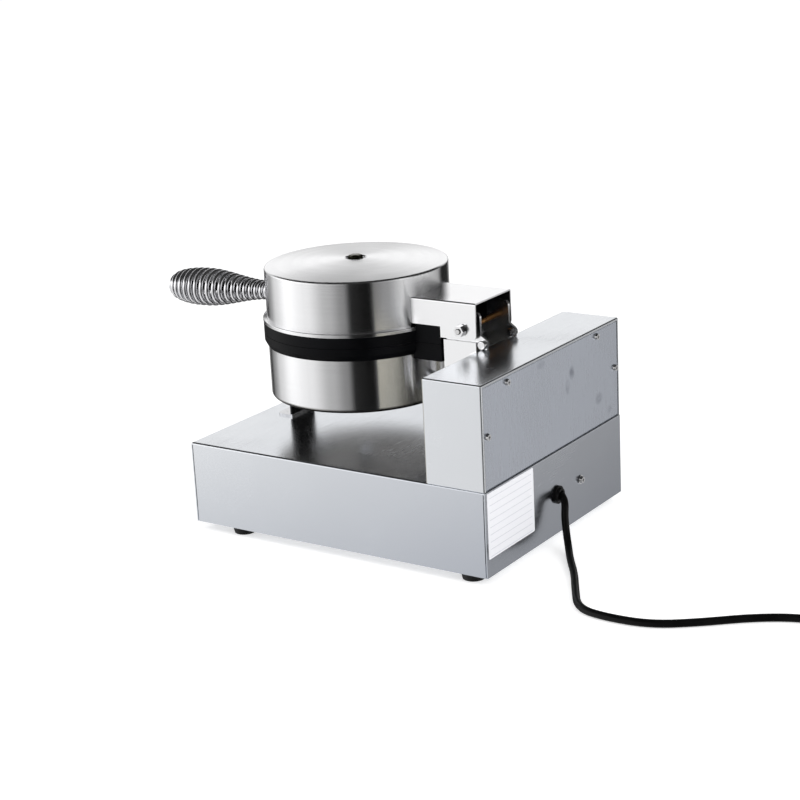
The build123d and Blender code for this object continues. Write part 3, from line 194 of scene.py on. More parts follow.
def noise(material, place, scale, detail=4.0, roughness=0.5, distortion=0.0):
    """Fractal noise read at a place, from 0 to 1."""
    node = material.node_tree.nodes.new("ShaderNodeTexNoise")
    node.inputs["Scale"].default_value = scale
    node.inputs["Detail"].default_value = detail
    node.inputs["Roughness"].default_value = roughness
    node.inputs["Distortion"].default_value = distortion
    link(material, place, node.inputs["Vector"])
    return node.outputs["Fac"]


def spread(material, value, low, high, out_low, out_high):
    """Maps one range of values onto another, clamped."""
    node = material.node_tree.nodes.new("ShaderNodeMapRange")
    node.inputs["From Min"].default_value = low
    node.inputs["From Max"].default_value = high
    node.inputs["To Min"].default_value = out_low
    node.inputs["To Max"].default_value = out_high
    link(material, value, node.inputs["Value"])
    return node.outputs["Result"]


def blend_colours(material, factor, first, second):
    """A colour between two colours by a factor."""
    node = material.node_tree.nodes.new("ShaderNodeMix")
    node.data_type = "RGBA"
    link(material, factor, node.inputs["Factor"])
    for socket, colour in ((node.inputs[6], first), (node.inputs[7], second)):
        if isinstance(colour, tuple):
            socket.default_value = (*colour, 1)
        else:
            link(material, colour, socket)
    return node.outputs[2]


def math_node(material, operation, first, second):
    """One arithmetic step on sockets or numbers."""
    node = material.node_tree.nodes.new("ShaderNodeMath")
    node.operation = operation
    for socket, value in zip(node.inputs, (first, second)):
        if isinstance(value, (int, float)):
            socket.default_value = value
        else:
            link(material, value, socket)
    return node.outputs["Value"]


def clouded(material, value, dark, light):
    """A colour that follows noise between a dark and a light tone."""
    return blend_colours(material, spread(material, value, 0.35, 0.65, 0, 1), dark, light)


def vary_roughness(material, shader, value, low, high):
    """Roughness that follows noise between two limits."""
    link(material, spread(material, value, 0.3, 0.7, low, high), shader.inputs["Roughness"])


def bump(material, shader, height, distance, strength=1.0):
    """Relief from a height, in metres at full height."""
    node = material.node_tree.nodes.new("ShaderNodeBump")
    node.inputs["Distance"].default_value = distance
    node.inputs["Strength"].default_value = strength
    link(material, height, node.inputs["Height"])
    link(material, node.outputs["Normal"], shader.inputs["Normal"])


def faded(material, colour, axis, low, high, tint):
    """A colour multiplied by a tint below a height along an object axis, fading out above it."""
    split = material.node_tree.nodes.new("ShaderNodeSeparateXYZ")
    link(material, object_place(material), split.inputs[0])
    node = material.node_tree.nodes.new("ShaderNodeMix")
    node.data_type = "RGBA"
    node.blend_type = "MULTIPLY"
    link(material, spread(material, split.outputs[axis], low, high, 1, 0), node.inputs["Factor"])
    link(material, colour, node.inputs[6])
    node.inputs[7].default_value = (*tint, 1)
    return node.outputs[2]


SMUDGE_COLOUR = (0.3, 0.32, 0.38)


def smudged(material, colour, spots):
    """A colour dulled by soft finger marks; spots are (x, z, half width, half height, strength)."""
    place = object_place(material)
    patches = noise(material, place, scale=130.0, detail=4.0, roughness=0.6)
    broken = spread(material, patches, 0.35, 0.6, 0.3, 1)
    split = material.node_tree.nodes.new("ShaderNodeSeparateXYZ")
    link(material, place, split.inputs[0])
    total = 0
    for x, z, half_width, half_height, strength in spots:
        across = math_node(material, "SUBTRACT", split.outputs["X"], x)
        across = math_node(material, "DIVIDE", across, half_width)
        upward = math_node(material, "SUBTRACT", split.outputs["Z"], z)
        upward = math_node(material, "DIVIDE", upward, half_height)
        reach = math_node(material, "ADD", math_node(material, "POWER", across, 2),
                          math_node(material, "POWER", upward, 2))
        total = math_node(material, "ADD", spread(material, reach, 0.1, 1, strength, 0), total)
    return blend_colours(material, math_node(material, "MULTIPLY", total, broken), colour, SMUDGE_COLOUR)


def brushed_sheet(name, colour, dark, roughness, grain=(3, 60, 60), smudges=0.05, fades=(), spots=()):
    """Stainless sheet: fine straight grain, faint clouding and hand marks, darker under a fade's tint
    (painted shade on the base).
    """
    material, shader = new_material(name)
    shader.inputs["Metallic"].default_value = 1.0
    streaks = noise(material, object_place(material, grain), scale=14.0, detail=6.0, roughness=0.62)
    clouds = noise(material, object_place(material), scale=7.0, detail=3.0, roughness=0.55, distortion=0.4)
    tone = math_node(material, "ADD", math_node(material, "MULTIPLY", streaks, 0.55),
                     math_node(material, "MULTIPLY", clouds, 0.45))
    sheet = blend_colours(material, spread(material, tone, 0.36, 0.66, 0, 1), dark, colour)
    for fade in fades:
        sheet = faded(material, sheet, *fade)
    if spots:
        sheet = smudged(material, sheet, spots)
    link(material, sheet, shader.inputs["Base Color"])
    marks = spread(material, clouds, 0.52, 0.72, 0, smudges)
    lines = spread(material, streaks, 0.3, 0.7, roughness - 0.05, roughness + 0.05)
    link(material, math_node(material, "ADD", marks, lines), shader.inputs["Roughness"])
    bump(material, shader, streaks, 0.00001, 0.05)
    return material


def spun_steel(name, colour, dark, roughness, fade=None):
    """Steel spun on a lathe: rings of grain round the axis stretch the reflections upright."""
    material, shader = new_material(name)
    shader.inputs["Metallic"].default_value = 1.0
    shader.inputs["Anisotropic"].default_value = 0.95
    shader.inputs["Anisotropic Rotation"].default_value = 0.25
    tangent = material.node_tree.nodes.new("ShaderNodeTangent")
    tangent.direction_type = "RADIAL"
    tangent.axis = "Z"
    link(material, tangent.outputs["Tangent"], shader.inputs["Tangent"])
    rings = noise(material, object_place(material, (2, 2, 400)), scale=5.0, detail=5.0, roughness=0.6)
    clouds = noise(material, object_place(material), scale=9.0, detail=3.0, roughness=0.5)
    sheet = clouded(material, rings, dark, colour)
    if fade:
        sheet = faded(material, sheet, *fade)
    link(material, sheet, shader.inputs["Base Color"])
    vary_roughness(material, shader, clouds, roughness - 0.02, roughness + 0.03)
    return material


def plain_metal(name, colour, dark, roughness, scale=60.0):
    """Small bright or dull metal parts with slight clouding."""
    material, shader = new_material(name)
    shader.inputs["Metallic"].default_value = 1.0
    clouds = noise(material, object_place(material), scale=scale, detail=4.0, roughness=0.6)
    link(material, clouded(material, clouds, dark, colour), shader.inputs["Base Color"])
    vary_roughness(material, shader, clouds, roughness * 0.8, roughness * 1.25)
    return material


def two_part_metal(name, axis, limit, inner, outer, roughness):
    """Metal whose colour changes at a distance from the origin along one axis."""
    material, shader = new_material(name)
    shader.inputs["Metallic"].default_value = 1.0
    place = object_place(material)
    split = material.node_tree.nodes.new("ShaderNodeSeparateXYZ")
    link(material, place, split.inputs[0])
    distance = math_node(material, "ABSOLUTE", split.outputs[axis], 0)
    clouds = noise(material, place, scale=150.0, detail=4.0, roughness=0.6)
    beyond = math_node(material, "GREATER_THAN", distance, limit)
    worn = tuple(channel * 0.75 for channel in inner)
    near = clouded(material, clouds, worn, inner)
    link(material, blend_colours(material, beyond, near, outer), shader.inputs["Base Color"])
    vary_roughness(material, shader, clouds, roughness * 0.8, roughness * 1.25)
    return material


def cast_plate(name):
    """Black seasoned casting: fine sandy skin with a dull sheen."""
    material, shader = new_material(name)
    shader.inputs["Metallic"].default_value = 0.0
    shader.inputs["Specular IOR Level"].default_value = 0.08
    sand = noise(material, object_place(material), scale=900.0, detail=3.0, roughness=0.6)
    patches = noise(material, object_place(material), scale=25.0, detail=3.0, roughness=0.5)
    tone = spread(material, patches, 0.3, 0.7, 0, 1)
    link(material, blend_colours(material, tone, (0.002, 0.0021, 0.0026), (0.005, 0.0053, 0.0066)),
         shader.inputs["Base Color"])
    vary_roughness(material, shader, patches, 0.34, 0.46)
    bump(material, shader, sand, 0.00008, 0.4)
    return material


def moulded(name, colour, light, roughness, specular=0.5, grain=700.0, depth=0.00003):
    """Rubber or plastic with a fine moulded skin."""
    material, shader = new_material(name)
    shader.inputs["Specular IOR Level"].default_value = specular
    skin = noise(material, object_place(material), scale=grain, detail=2.0, roughness=0.5)
    patches = noise(material, object_place(material), scale=40.0, detail=3.0, roughness=0.5)
    link(material, blend_colours(material, spread(material, patches, 0.3, 0.7, 0, 1), colour, light),
         shader.inputs["Base Color"])
    vary_roughness(material, shader, patches, roughness - 0.05, roughness + 0.06)
    bump(material, shader, skin, depth, 0.5)
    return material


def mineral_wool(name):
    """Pale fibrous felt."""
    material, shader = new_material(name)
    place = object_place(material, (1, 1, 4))
    fibres = noise(material, place, scale=240.0, detail=6.0, roughness=0.75, distortion=1.5)
    link(material, blend_colours(material, fibres, (0.45, 0.42, 0.34), (0.82, 0.8, 0.72)),
         shader.inputs["Base Color"])
    shader.inputs["Roughness"].default_value = 0.95
    bump(material, shader, fibres, 0.0006, 0.8)
    return material


def tinted_lens(name):
    """Red pilot lamp lens with a faint moulded prism pattern."""
    material, shader = new_material(name)
    shader.inputs["Transmission Weight"].default_value = 0.75
    shader.inputs["IOR"].default_value = 1.49
    prisms = noise(material, object_place(material), scale=420.0, detail=1.0, roughness=0.4)
    link(material, blend_colours(material, prisms, (0.62, 0.02, 0.01), (0.85, 0.06, 0.03)),
         shader.inputs["Base Color"])
    vary_roughness(material, shader, prisms, 0.08, 0.2)
    bump(material, shader, prisms, 0.0003, 0.5)
    return material


# Finishes: a light and a dark tone, then the roughness
SHEET_FINISH = ((0.80, 0.82, 0.85), (0.76, 0.78, 0.81), 0.22)
SPUN_FINISH = ((0.88, 0.88, 0.89), (0.82, 0.82, 0.83), 0.19)

# Fades: the axis, the ends of the change and the tint at its first end
# Painted shade on the base: its steel darkens towards the bottom and towards the rear
BASE_PAINTED_SHADE = (
    ("Z", base_low.z, base_high.z, (0.84, 0.85, 0.87)),
    ("Y", rear, front, (0.8, 0.81, 0.84)),
)
HOUSING_FACE_FADE = ("Y", housing_low.y + 0.8 * MM, housing_low.y + 2 * MM, (0.52, 0.49, 0.41))
# The pan's steel turns darker and browner towards its bottom edge
PAN_LOWER_EDGE_FADE = ("Z", pan_low.z + 2 * MM, pan_low.z + 5 * MM, (0.17, 0.15, 0.12))

# Hand marks on the cover: x, z, half width, half height and strength
FINGER_MARKS = (
    (-36 * MM, 165 * MM, 6 * MM, 8 * MM, 0.8),
    (-27 * MM, 153 * MM, 5 * MM, 9 * MM, 0.5),
    (-91 * MM, 123 * MM, 9 * MM, 7 * MM, 0.45),
    (-113 * MM, 106 * MM, 6 * MM, 5 * MM, 0.4),
    (24 * MM, 189 * MM, 9 * MM, 6 * MM, 0.3),
)

SHEET = brushed_sheet("sheet_steel", *SHEET_FINISH)
BASE_SHEET = brushed_sheet("base_steel", *SHEET_FINISH, fades=BASE_PAINTED_SHADE)
# Rear cover: a darker, bluer copy of the sheet steel as painted shade on the rear face, with hand marks
COVER_SHADE_AND_MARKS = brushed_sheet("cover_steel", (0.72, 0.76, 0.84), (0.69, 0.725, 0.8), 0.27, (60, 60, 3),
                      spots=FINGER_MARKS)
HOUSING_SHEET = brushed_sheet("housing_steel", *SHEET_FINISH, fades=(HOUSING_FACE_FADE,))
HINGE_SHEET = brushed_sheet("hinge_sheet", (0.97, 0.97, 0.98), (0.93, 0.93, 0.94), 0.2)
# Painted shade for the inside of the hinge channel
SHADED_SHEET = brushed_sheet("shaded_sheet", (0.16, 0.16, 0.16), (0.12, 0.12, 0.12), 0.4)
PAN_SHEET = spun_steel("pan_steel", *SPUN_FINISH, PAN_LOWER_EDGE_FADE)
SPUN = spun_steel("spun_steel", *SPUN_FINISH)
POLISHED = plain_metal("polished_steel", (0.78, 0.79, 0.81), (0.7, 0.71, 0.73), 0.14)
FASTENER = plain_metal("fastener_steel", (0.94, 0.94, 0.95), (0.8, 0.8, 0.81), 0.1, 300.0)
HEATER = plain_metal("heater_sheath", (0.3, 0.29, 0.27), (0.16, 0.14, 0.13), 0.5, 200.0)
CHROME = plain_metal("chromed_wire", (0.92, 0.92, 0.94), (0.78, 0.78, 0.8), 0.1)
PIN = two_part_metal("hinge_pin_steel", "X", 26 * MM, (0.86, 0.42, 0.14), (0.7, 0.7, 0.7), 0.3)
# Front bracket: steel at its foot, near-black above it as painted shade under the pan
BRACKET_WEB_SHADE = two_part_metal("bracket_steel_web_shade", "Z", deck + 2.5 * MM, (0.8, 0.8, 0.82), (0.03, 0.03, 0.032), 0.22)
CAP_NUT = plain_metal("olive_nut", (0.12, 0.115, 0.07), (0.03, 0.03, 0.02), 0.22, 400.0)
# Dark steel: on the lid's stud it is painted shade in the nut's recess
DARK_STEEL = plain_metal("dark_steel", (0.05, 0.05, 0.045), (0.02, 0.02, 0.02), 0.3, 300.0)
CASTING = cast_plate("black_casting")
RUBBER = moulded("black_rubber", (0.008, 0.008, 0.008), (0.016, 0.016, 0.017), 0.6, 0.3)
JACKET = moulded("cord_jacket", (0.002, 0.002, 0.002), (0.004, 0.004, 0.004), 0.4, 0.16)
PLASTIC = moulded("black_plastic", (0.006, 0.006, 0.006), (0.012, 0.012, 0.012), 0.36, 0.3)
BUSHING = moulded("bushing_nylon", (0.002, 0.002, 0.002), (0.005, 0.005, 0.005), 0.3, 0.2)
NYLON = moulded("pale_nylon", (0.62, 0.6, 0.54), (0.7, 0.68, 0.62), 0.45)
WOOL = mineral_wool("mineral_wool")
LENS = tinted_lens("lamp_lens")

MATERIAL_OF_SLOT = {
    "sheet_steel": SHEET,
    "cover_steel": COVER_SHADE_AND_MARKS,
    "lid_steel": SPUN,
    "polished_steel": POLISHED,
    "fastener": FASTENER,
    "plate_iron": CASTING,
    "heater_metal": HEATER,
    "wool": WOOL,
    "pin_brass": PIN,
    "spring_chrome": CHROME,
    "black_rubber": RUBBER,
    "black_plastic": PLASTIC,
    "lamp_lens": LENS,
    "terminal_plastic": NYLON,
    "bushing_plastic": PLASTIC,
    "cord_jacket": JACKET,
}


def dress_nodes():
    """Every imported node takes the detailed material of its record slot."""
    for entry in frame["record"]["subparts"]:
        node = frame["nodes"][entry["node"]]
        node.data.materials.clear()
        node.data.materials.append(MATERIAL_OF_SLOT[entry["material_slot"]])


NODE_MATERIALS = {
    "front_bracket": BRACKET_WEB_SHADE,
    # The lid's stud is dark as painted shade in the nut's recess
    "lid_stud": DARK_STEEL,
    "cord_bushing": BUSHING,
    "handle_rod": DARK_STEEL,
    "rear_cover": COVER_SHADE_AND_MARKS,
    "hinge_channel": HINGE_SHEET,
    "hinge_support": HINGE_SHEET,
    "base_shell": BASE_SHEET,
    "rear_housing": HOUSING_SHEET,
    "lower_pan": PAN_SHEET,
}


def dress_exceptions():
    """Nodes whose material departs from their slot's usual one: some for their own finish, some for painted
    shade on the base, the rear cover, the bracket's web and the lid's stud.
    """
    for name, material in NODE_MATERIALS.items():
        frame["nodes"][name].data.materials[0] = material


def darken_channel():
    """Painted shade: the hinge channel's inner faces, which look down or at its middle, take a dark, dull
    sheet.
    """
    mesh = frame["nodes"]["hinge_channel"].data
    mesh.materials.append(SHADED_SHEET)
    for face in mesh.polygons:
        if face.normal.z < -0.9 or face.normal.x * face.center.x < -0.5 * abs(face.center.x):
            face.material_index = 1


dress_nodes()
dress_exceptions()
darken_channel()
cord.data.materials.append(JACKET)


def mesh_piece(name, points, faces, body, material, smooth=False):
    """A mesh that rides on a body and takes the material it is given."""
    mesh = bpy.data.meshes.new(name)
    mesh.from_pydata([tuple(point) for point in points], [], faces)
    mesh.polygons.foreach_set("use_smooth", [smooth] * len(mesh.polygons))
    mesh.materials.append(material)
    piece = bpy.data.objects.new(name, mesh)
    scene.collection.objects.link(piece)
    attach(piece, body)
    return piece


def rounded_outline(left, right, bottom, top, corner, steps=6):
    """Points round a rectangle with round corners, anticlockwise."""
    outline = []
    centres = ((right - corner, bottom + corner, -90), (right - corner, top - corner, 0),
               (left + corner, top - corner, 90), (left + corner, bottom + corner, 180))
    for centre_x, centre_z, start in centres:
        for step in range(steps + 1):
            angle = radians(start + 90 * step / steps)
            outline.append((centre_x + corner * cos(angle), centre_z + corner * sin(angle)))
    return outline


def capped_tube_faces(rings, sides):
    """Faces of a tube of equal rings, closed by a cap at each end."""
    count = rings * sides
    faces = [tuple(range(sides - 1, -1, -1)), tuple(range(count - sides, count))]
    for ring in range(rings - 1):
        for side in range(sides):
            here = ring * sides + side
            beside = ring * sides + (side + 1) % sides
            faces.append((here, beside, beside + sides, here + sides))
    return faces


# Strap round the four strands of the coil's side nearest the machine
TIE_WIDTH = 11.0 * MM
TIE_SHEET = 1.0 * MM
TIE_NEAR = COIL_Y - 47.2 * MM
TIE_FAR = COIL_Y - 31.0 * MM
TIE_TOP = 15.7 * MM
TIE_BOTTOM = 0.9 * MM
TIE_CORNER = 3.2 * MM


def make_tie():
    """A flat band with round corners, its underside pressed into the cord."""
    inner = rounded_outline(TIE_NEAR, TIE_FAR, TIE_BOTTOM, TIE_TOP, TIE_CORNER)
    outer = rounded_outline(TIE_NEAR - TIE_SHEET, TIE_FAR + TIE_SHEET, TIE_BOTTOM - 0.8 * TIE_SHEET,
                            TIE_TOP + TIE_SHEET, TIE_CORNER + TIE_SHEET)
    left = COIL_X - TIE_WIDTH / 2
    right = COIL_X + TIE_WIDTH / 2
    layers = ((left, inner), (left, outer), (right, outer), (right, inner))
    points = [Vector((x, y, z)) for x, outline in layers for y, z in outline]
    count = len(inner)
    faces = []
    for ring in range(len(layers)):
        here = ring * count
        there = (ring + 1) % len(layers) * count
        for index in range(count):
            following = (index + 1) % count
            faces.append((here + index, here + following, there + following, there + index))
    return mesh_piece("coil_tie", points, faces, "base", RUBBER)


make_tie()

# Spring handle: the CAD source's formula in metres along the handle's axis, as a smooth round wire
pin_low, pin_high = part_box("hinge_pin")
HANDLE_LENGTH = 155.4 * MM
HANDLE_DROOP = radians(2.58)
HANDLE_RISE = 9.5 * MM
COLLAR_LENGTH = 5.0 * MM
WIRE = 5.5 * MM
ROOT_RADIUS = 7.3 * MM
BELLY_RADIUS = 18.1 * MM
BELLY_AT = 104.0 * MM
TIP_RADIUS = 6.3 * MM
ROOT_PITCH = 5.4 * MM
BELLY_PITCH = 8.1 * MM
TIP_PITCH = 6.0 * MM
END_MARGIN = 1.4 * MM
END_SHARES = (0.72, 0.93, 1.0)
WIRE_SIDES = 14
STEPS_PER_TURN = 48


def spring_radius(s):
    """Radius of the wire's centreline: slim at the root, a round belly, drawn in at the tip."""
    start = COLLAR_LENGTH + WIRE
    end = HANDLE_LENGTH - WIRE
    if s < BELLY_AT:
        share = max(0.0, (s - start) / (BELLY_AT - start))
        return ROOT_RADIUS + (BELLY_RADIUS - ROOT_RADIUS) * (1 - cos(pi * share ** 1.15)) / 2
    share = min(1.0, (s - BELLY_AT) / (end - BELLY_AT))
    return TIP_RADIUS + (BELLY_RADIUS - TIP_RADIUS) * sqrt(max(0.0, 1 - share ** 2.4))


def spring_pitch(s):
    """Distance along the axis from turn to turn, widest before the belly."""
    if s < BELLY_AT:
        return ROOT_PITCH + (BELLY_PITCH - ROOT_PITCH) * sin(pi / 2 * s / BELLY_AT)
    share = (s - BELLY_AT) / (HANDLE_LENGTH - BELLY_AT)
    return BELLY_PITCH + (TIP_PITCH - BELLY_PITCH) * share


def spring_line():
    """The wire's centreline with the outward direction at each point, in the handle's frame."""
    line = []
    s = COLLAR_LENGTH + WIRE / 2 + 0.1 * MM
    turn = 0.0
    while s < HANDLE_LENGTH - WIRE / 2 - END_MARGIN:
        outward = Vector((cos(2 * pi * turn), -sin(2 * pi * turn), 0))
        line.append((outward * spring_radius(s) + Vector((0, 0, s)), outward))
        slope = abs(spring_radius(s + 0.5 * MM) - spring_radius(s - 0.5 * MM)) / MM
        s += spring_pitch(s) / sqrt(1 + slope ** 2) / STEPS_PER_TURN
        turn += 1 / STEPS_PER_TURN
    return line


def make_spring():
    """A tube of round rings along the wire, closed and rounded off at both ends."""
    root = Vector((0, pan_low.y, (pin_low.z + pin_high.z) / 2 + HANDLE_RISE))
    along = Vector((0, -cos(HANDLE_DROOP), -sin(HANDLE_DROOP)))
    across = Vector((1, 0, 0))
    third = along.cross(across)
    line = spring_line()
    points = []
    for index, (centre, outward) in enumerate(line):
        before = line[max(index - 1, 0)][0]
        after = line[min(index + 1, len(line) - 1)][0]
        tangent = (after - before).normalized()
        first = (outward - tangent * outward.dot(tangent)).normalized()
        second = tangent.cross(first)
        from_end = min(index, len(line) - 1 - index)
        radius = WIRE / 2 * END_SHARES[min(from_end, len(END_SHARES) - 1)]
        for side in range(WIRE_SIDES):
            angle = 2 * pi * side / WIRE_SIDES
            spot = centre + first * (radius * cos(angle)) + second * (radius * sin(angle))
            points.append(root + across * spot.x + third * spot.y + along * spot.z)
    faces = capped_tube_faces(len(line), WIRE_SIDES)
    spring = mesh_piece("handle_wire", points, faces, "lid", CHROME, smooth=True)
    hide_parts("handle_spring")


make_spring()

# Painted shade in the lid's dimple: a black ring on its floor under the nut
nut_low, nut_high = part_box("lid_nut")
SHADE_RING_RADIUS = 9.4 * MM
SHADE_RING_BORE = 4.2 * MM
SHADE_RING_THICKNESS = 0.6 * MM
SHADE_RING_LIFT = 0.05 * MM
SHADE_RING_STEPS = 48


def make_seal():
    """A flat ring with a chamfered rim."""
    profile = ((SHADE_RING_BORE, SHADE_RING_LIFT), (SHADE_RING_RADIUS, SHADE_RING_LIFT), (SHADE_RING_RADIUS, SHADE_RING_THICKNESS / 2),
               (SHADE_RING_RADIUS - SHADE_RING_THICKNESS / 2, SHADE_RING_THICKNESS), (SHADE_RING_BORE, SHADE_RING_THICKNESS))
    points = []
    for step in range(SHADE_RING_STEPS):
        angle = 2 * pi * step / SHADE_RING_STEPS
        points += [Vector((radius * cos(angle), pan_y + radius * sin(angle), nut_low.z + height))
                   for radius, height in profile]
    count = len(profile)
    faces = []
    for step in range(SHADE_RING_STEPS):
        for corner in range(count):
            following = (corner + 1) % count
            here = step * count
            there = (step + 1) % SHADE_RING_STEPS * count
            faces.append((here + corner, there + corner, there + following, here + following))
    mesh_piece("lid_recess_shade_ring", points, faces, "lid", RUBBER)


make_seal()

# The lid's cap nut stands a little above the lid's crown
NUT_RISE = 3.0 * MM
NUT_CHAMFER = 1.3 * MM
NUT_SIDES = 6


def make_cap_nut():
    """A hexagon nut with a chamfered, slightly domed top."""
    corner = (nut_high.x - nut_low.x) / 2
    lid_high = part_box("lid_shell")[1]
    top = lid_high.z + NUT_RISE
    rings = ((nut_low.z, corner), (top - NUT_CHAMFER, corner), (top - 0.3 * NUT_CHAMFER, 0.84 * corner),
             (top, 0.5 * corner))
    points = []
    for z, radius in rings:
        for side in range(NUT_SIDES):
            angle = 2 * pi * side / NUT_SIDES
            points.append(Vector((radius * cos(angle), pan_y + radius * sin(angle), z)))
    faces = capped_tube_faces(len(rings), NUT_SIDES)
    nut = mesh_piece("lid_cap_nut", points, faces, "lid", CAP_NUT)
    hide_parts("lid_nut")


make_cap_nut()

# Rating label's place: a blank white sticker with faint ruled lines on the rear flange
LABEL_LEFT = 46.0 * MM
LABEL_RIGHT = 131.6 * MM
LABEL_BOTTOM = 27.0 * MM
LABEL_TOP = 92.0 * MM
LABEL_CORNER = 1.6 * MM
LABEL_THICKNESS = 0.25 * MM
LABEL_LIFT = 0.02 * MM
LABEL_MARGIN = 4 * MM
RULE_PITCH = 7.2 * MM
RULE_SHARE = 0.07
RULE_STRENGTH = 0.55


def label_paper():
    """White coated paper with pale grey rules inside its side margins."""
    material, shader = new_material("label_paper")
    place = object_place(material)
    split = material.node_tree.nodes.new("ShaderNodeSeparateXYZ")
    link(material, place, split.inputs[0])
    row = math_node(material, "FRACT", math_node(material, "DIVIDE", split.outputs["Z"], RULE_PITCH), 0)
    rule = math_node(material, "LESS_THAN", row, RULE_SHARE)
    inside_left = math_node(material, "GREATER_THAN", split.outputs["X"], LABEL_LEFT + LABEL_MARGIN)
    inside_right = math_node(material, "LESS_THAN", split.outputs["X"], LABEL_RIGHT - LABEL_MARGIN)
    inside = math_node(material, "MULTIPLY", inside_left, inside_right)
    fibres = noise(material, place, scale=500.0, detail=3.0, roughness=0.5)
    paper = blend_colours(material, fibres, (0.9, 0.91, 0.95), (0.96, 0.96, 1.0))
    mask = math_node(material, "MULTIPLY", math_node(material, "MULTIPLY", rule, inside), RULE_STRENGTH)
    link(material, blend_colours(material, mask, paper, (0.34, 0.36, 0.42)), shader.inputs["Base Color"])
    vary_roughness(material, shader, fibres, 0.38, 0.5)
    return material


def make_label():
    """A thin rounded sheet lying on the rear face."""
    outline = rounded_outline(LABEL_LEFT, LABEL_RIGHT, LABEL_BOTTOM, LABEL_TOP, LABEL_CORNER)
    count = len(outline)
    points = [(x, rear + depth, z) for depth in (LABEL_LIFT, LABEL_THICKNESS) for x, z in outline]
    faces = [tuple(range(count)), tuple(range(2 * count - 1, count - 1, -1))]
    for index in range(count):
        following = (index + 1) % count
        faces.append((index, index + count, following + count, following))
    mesh_piece("rating_label_blank", points, faces, "base", label_paper())


make_label()

# Generic ticks and figures round the two dials, in degrees of their turn
knob_low, knob_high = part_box("thermostat_knob")
timer_low, timer_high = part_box("timer_knob")
FIGURE_HEIGHT = 5.0 * MM
FIGURE_RING = 26.5 * MM
TICK_INNER = 20.5 * MM
TICK_OUTER = 23.0 * MM
TICK_WIDTH = 0.7 * MM
INK_DEPTH = 0.12 * MM
TICK_GAPS = 10
FIGURE_GAPS = 5
THERMOSTAT_SWEEP = 270
THERMOSTAT_STEP = 50
TIMER_SWEEP = 300
INK = moulded("printed_ink", (0.01, 0.01, 0.011), (0.02, 0.02, 0.022), 0.5)


def dial_ticks(name, centre_x, centre_z, angles):
    """Short printed strokes round a dial; angles run clockwise from straight up, in degrees."""
    points = []
    faces = []
    for angle in angles:
        outward = Vector((sin(radians(angle)), 0, cos(radians(angle))))
        sideways = Vector((cos(radians(angle)), 0, -sin(radians(angle)))) * (TICK_WIDTH / 2)
        centre = Vector((centre_x, front - INK_DEPTH, centre_z))
        start = len(points)
        for reach, side in ((TICK_INNER, -1), (TICK_INNER, 1), (TICK_OUTER, 1), (TICK_OUTER, -1)):
            points.append(centre + outward * reach + sideways * side)
        faces.append((start, start + 1, start + 2, start + 3))
    mesh_piece(name, points, faces, "base", INK)


def dial_figures(name, centre_x, centre_z, figures):
    """Figures as flat meshes round a dial, joined into one piece; figures are (text, angle)."""
    points = []
    faces = []
    for text, angle in figures:
        line = bpy.data.curves.new("figure", "FONT")
        line.body = text
        line.size = FIGURE_HEIGHT
        line.align_x = "CENTER"
        line.align_y = "CENTER"
        holder = bpy.data.objects.new("figure", line)
        mesh = bpy.data.meshes.new_from_object(holder)
        outward = Vector((sin(radians(angle)), 0, cos(radians(angle)))) * FIGURE_RING
        start = len(points)
        for vertex in mesh.vertices:
            x = centre_x + outward.x + vertex.co.x
            z = centre_z + outward.z + vertex.co.y
            points.append(Vector((x, front - INK_DEPTH, z)))
        faces += [tuple(start + corner for corner in polygon.vertices) for polygon in mesh.polygons]
        bpy.data.objects.remove(holder)
        bpy.data.curves.remove(line)
        bpy.data.meshes.remove(mesh)
    mesh_piece(name, points, faces, "base", INK)


def sweep_angles(sweep, gaps):
    """Even angles over a dial's sweep, both ends included."""
    return range(0, sweep + 1, sweep // gaps)


thermostat_centre = (knob_low + knob_high) / 2
timer_centre = (timer_low + timer_high) / 2
thermostat_figures = [(str(THERMOSTAT_STEP * (index + 1)), angle)
                      for index, angle in enumerate(sweep_angles(THERMOSTAT_SWEEP, FIGURE_GAPS))]
timer_figures = [(str(index), angle) for index, angle in enumerate(sweep_angles(TIMER_SWEEP, FIGURE_GAPS))]
dial_ticks("thermostat_ticks", thermostat_centre.x, thermostat_centre.z,
           sweep_angles(THERMOSTAT_SWEEP, TICK_GAPS))
dial_ticks("timer_ticks", timer_centre.x, timer_centre.z, sweep_angles(TIMER_SWEEP, TICK_GAPS))
dial_figures("thermostat_figures", thermostat_centre.x, thermostat_centre.z, thermostat_figures)
dial_figures("timer_figures", timer_centre.x, timer_centre.z, timer_figures)

# Floor and the studio's plain levels
FLOOR_REACH = 6.0
FLOOR_DROP = 0.3 * MM
FLOOR_VEIL = 0.55
DIFFUSE_LEVEL = 0.75


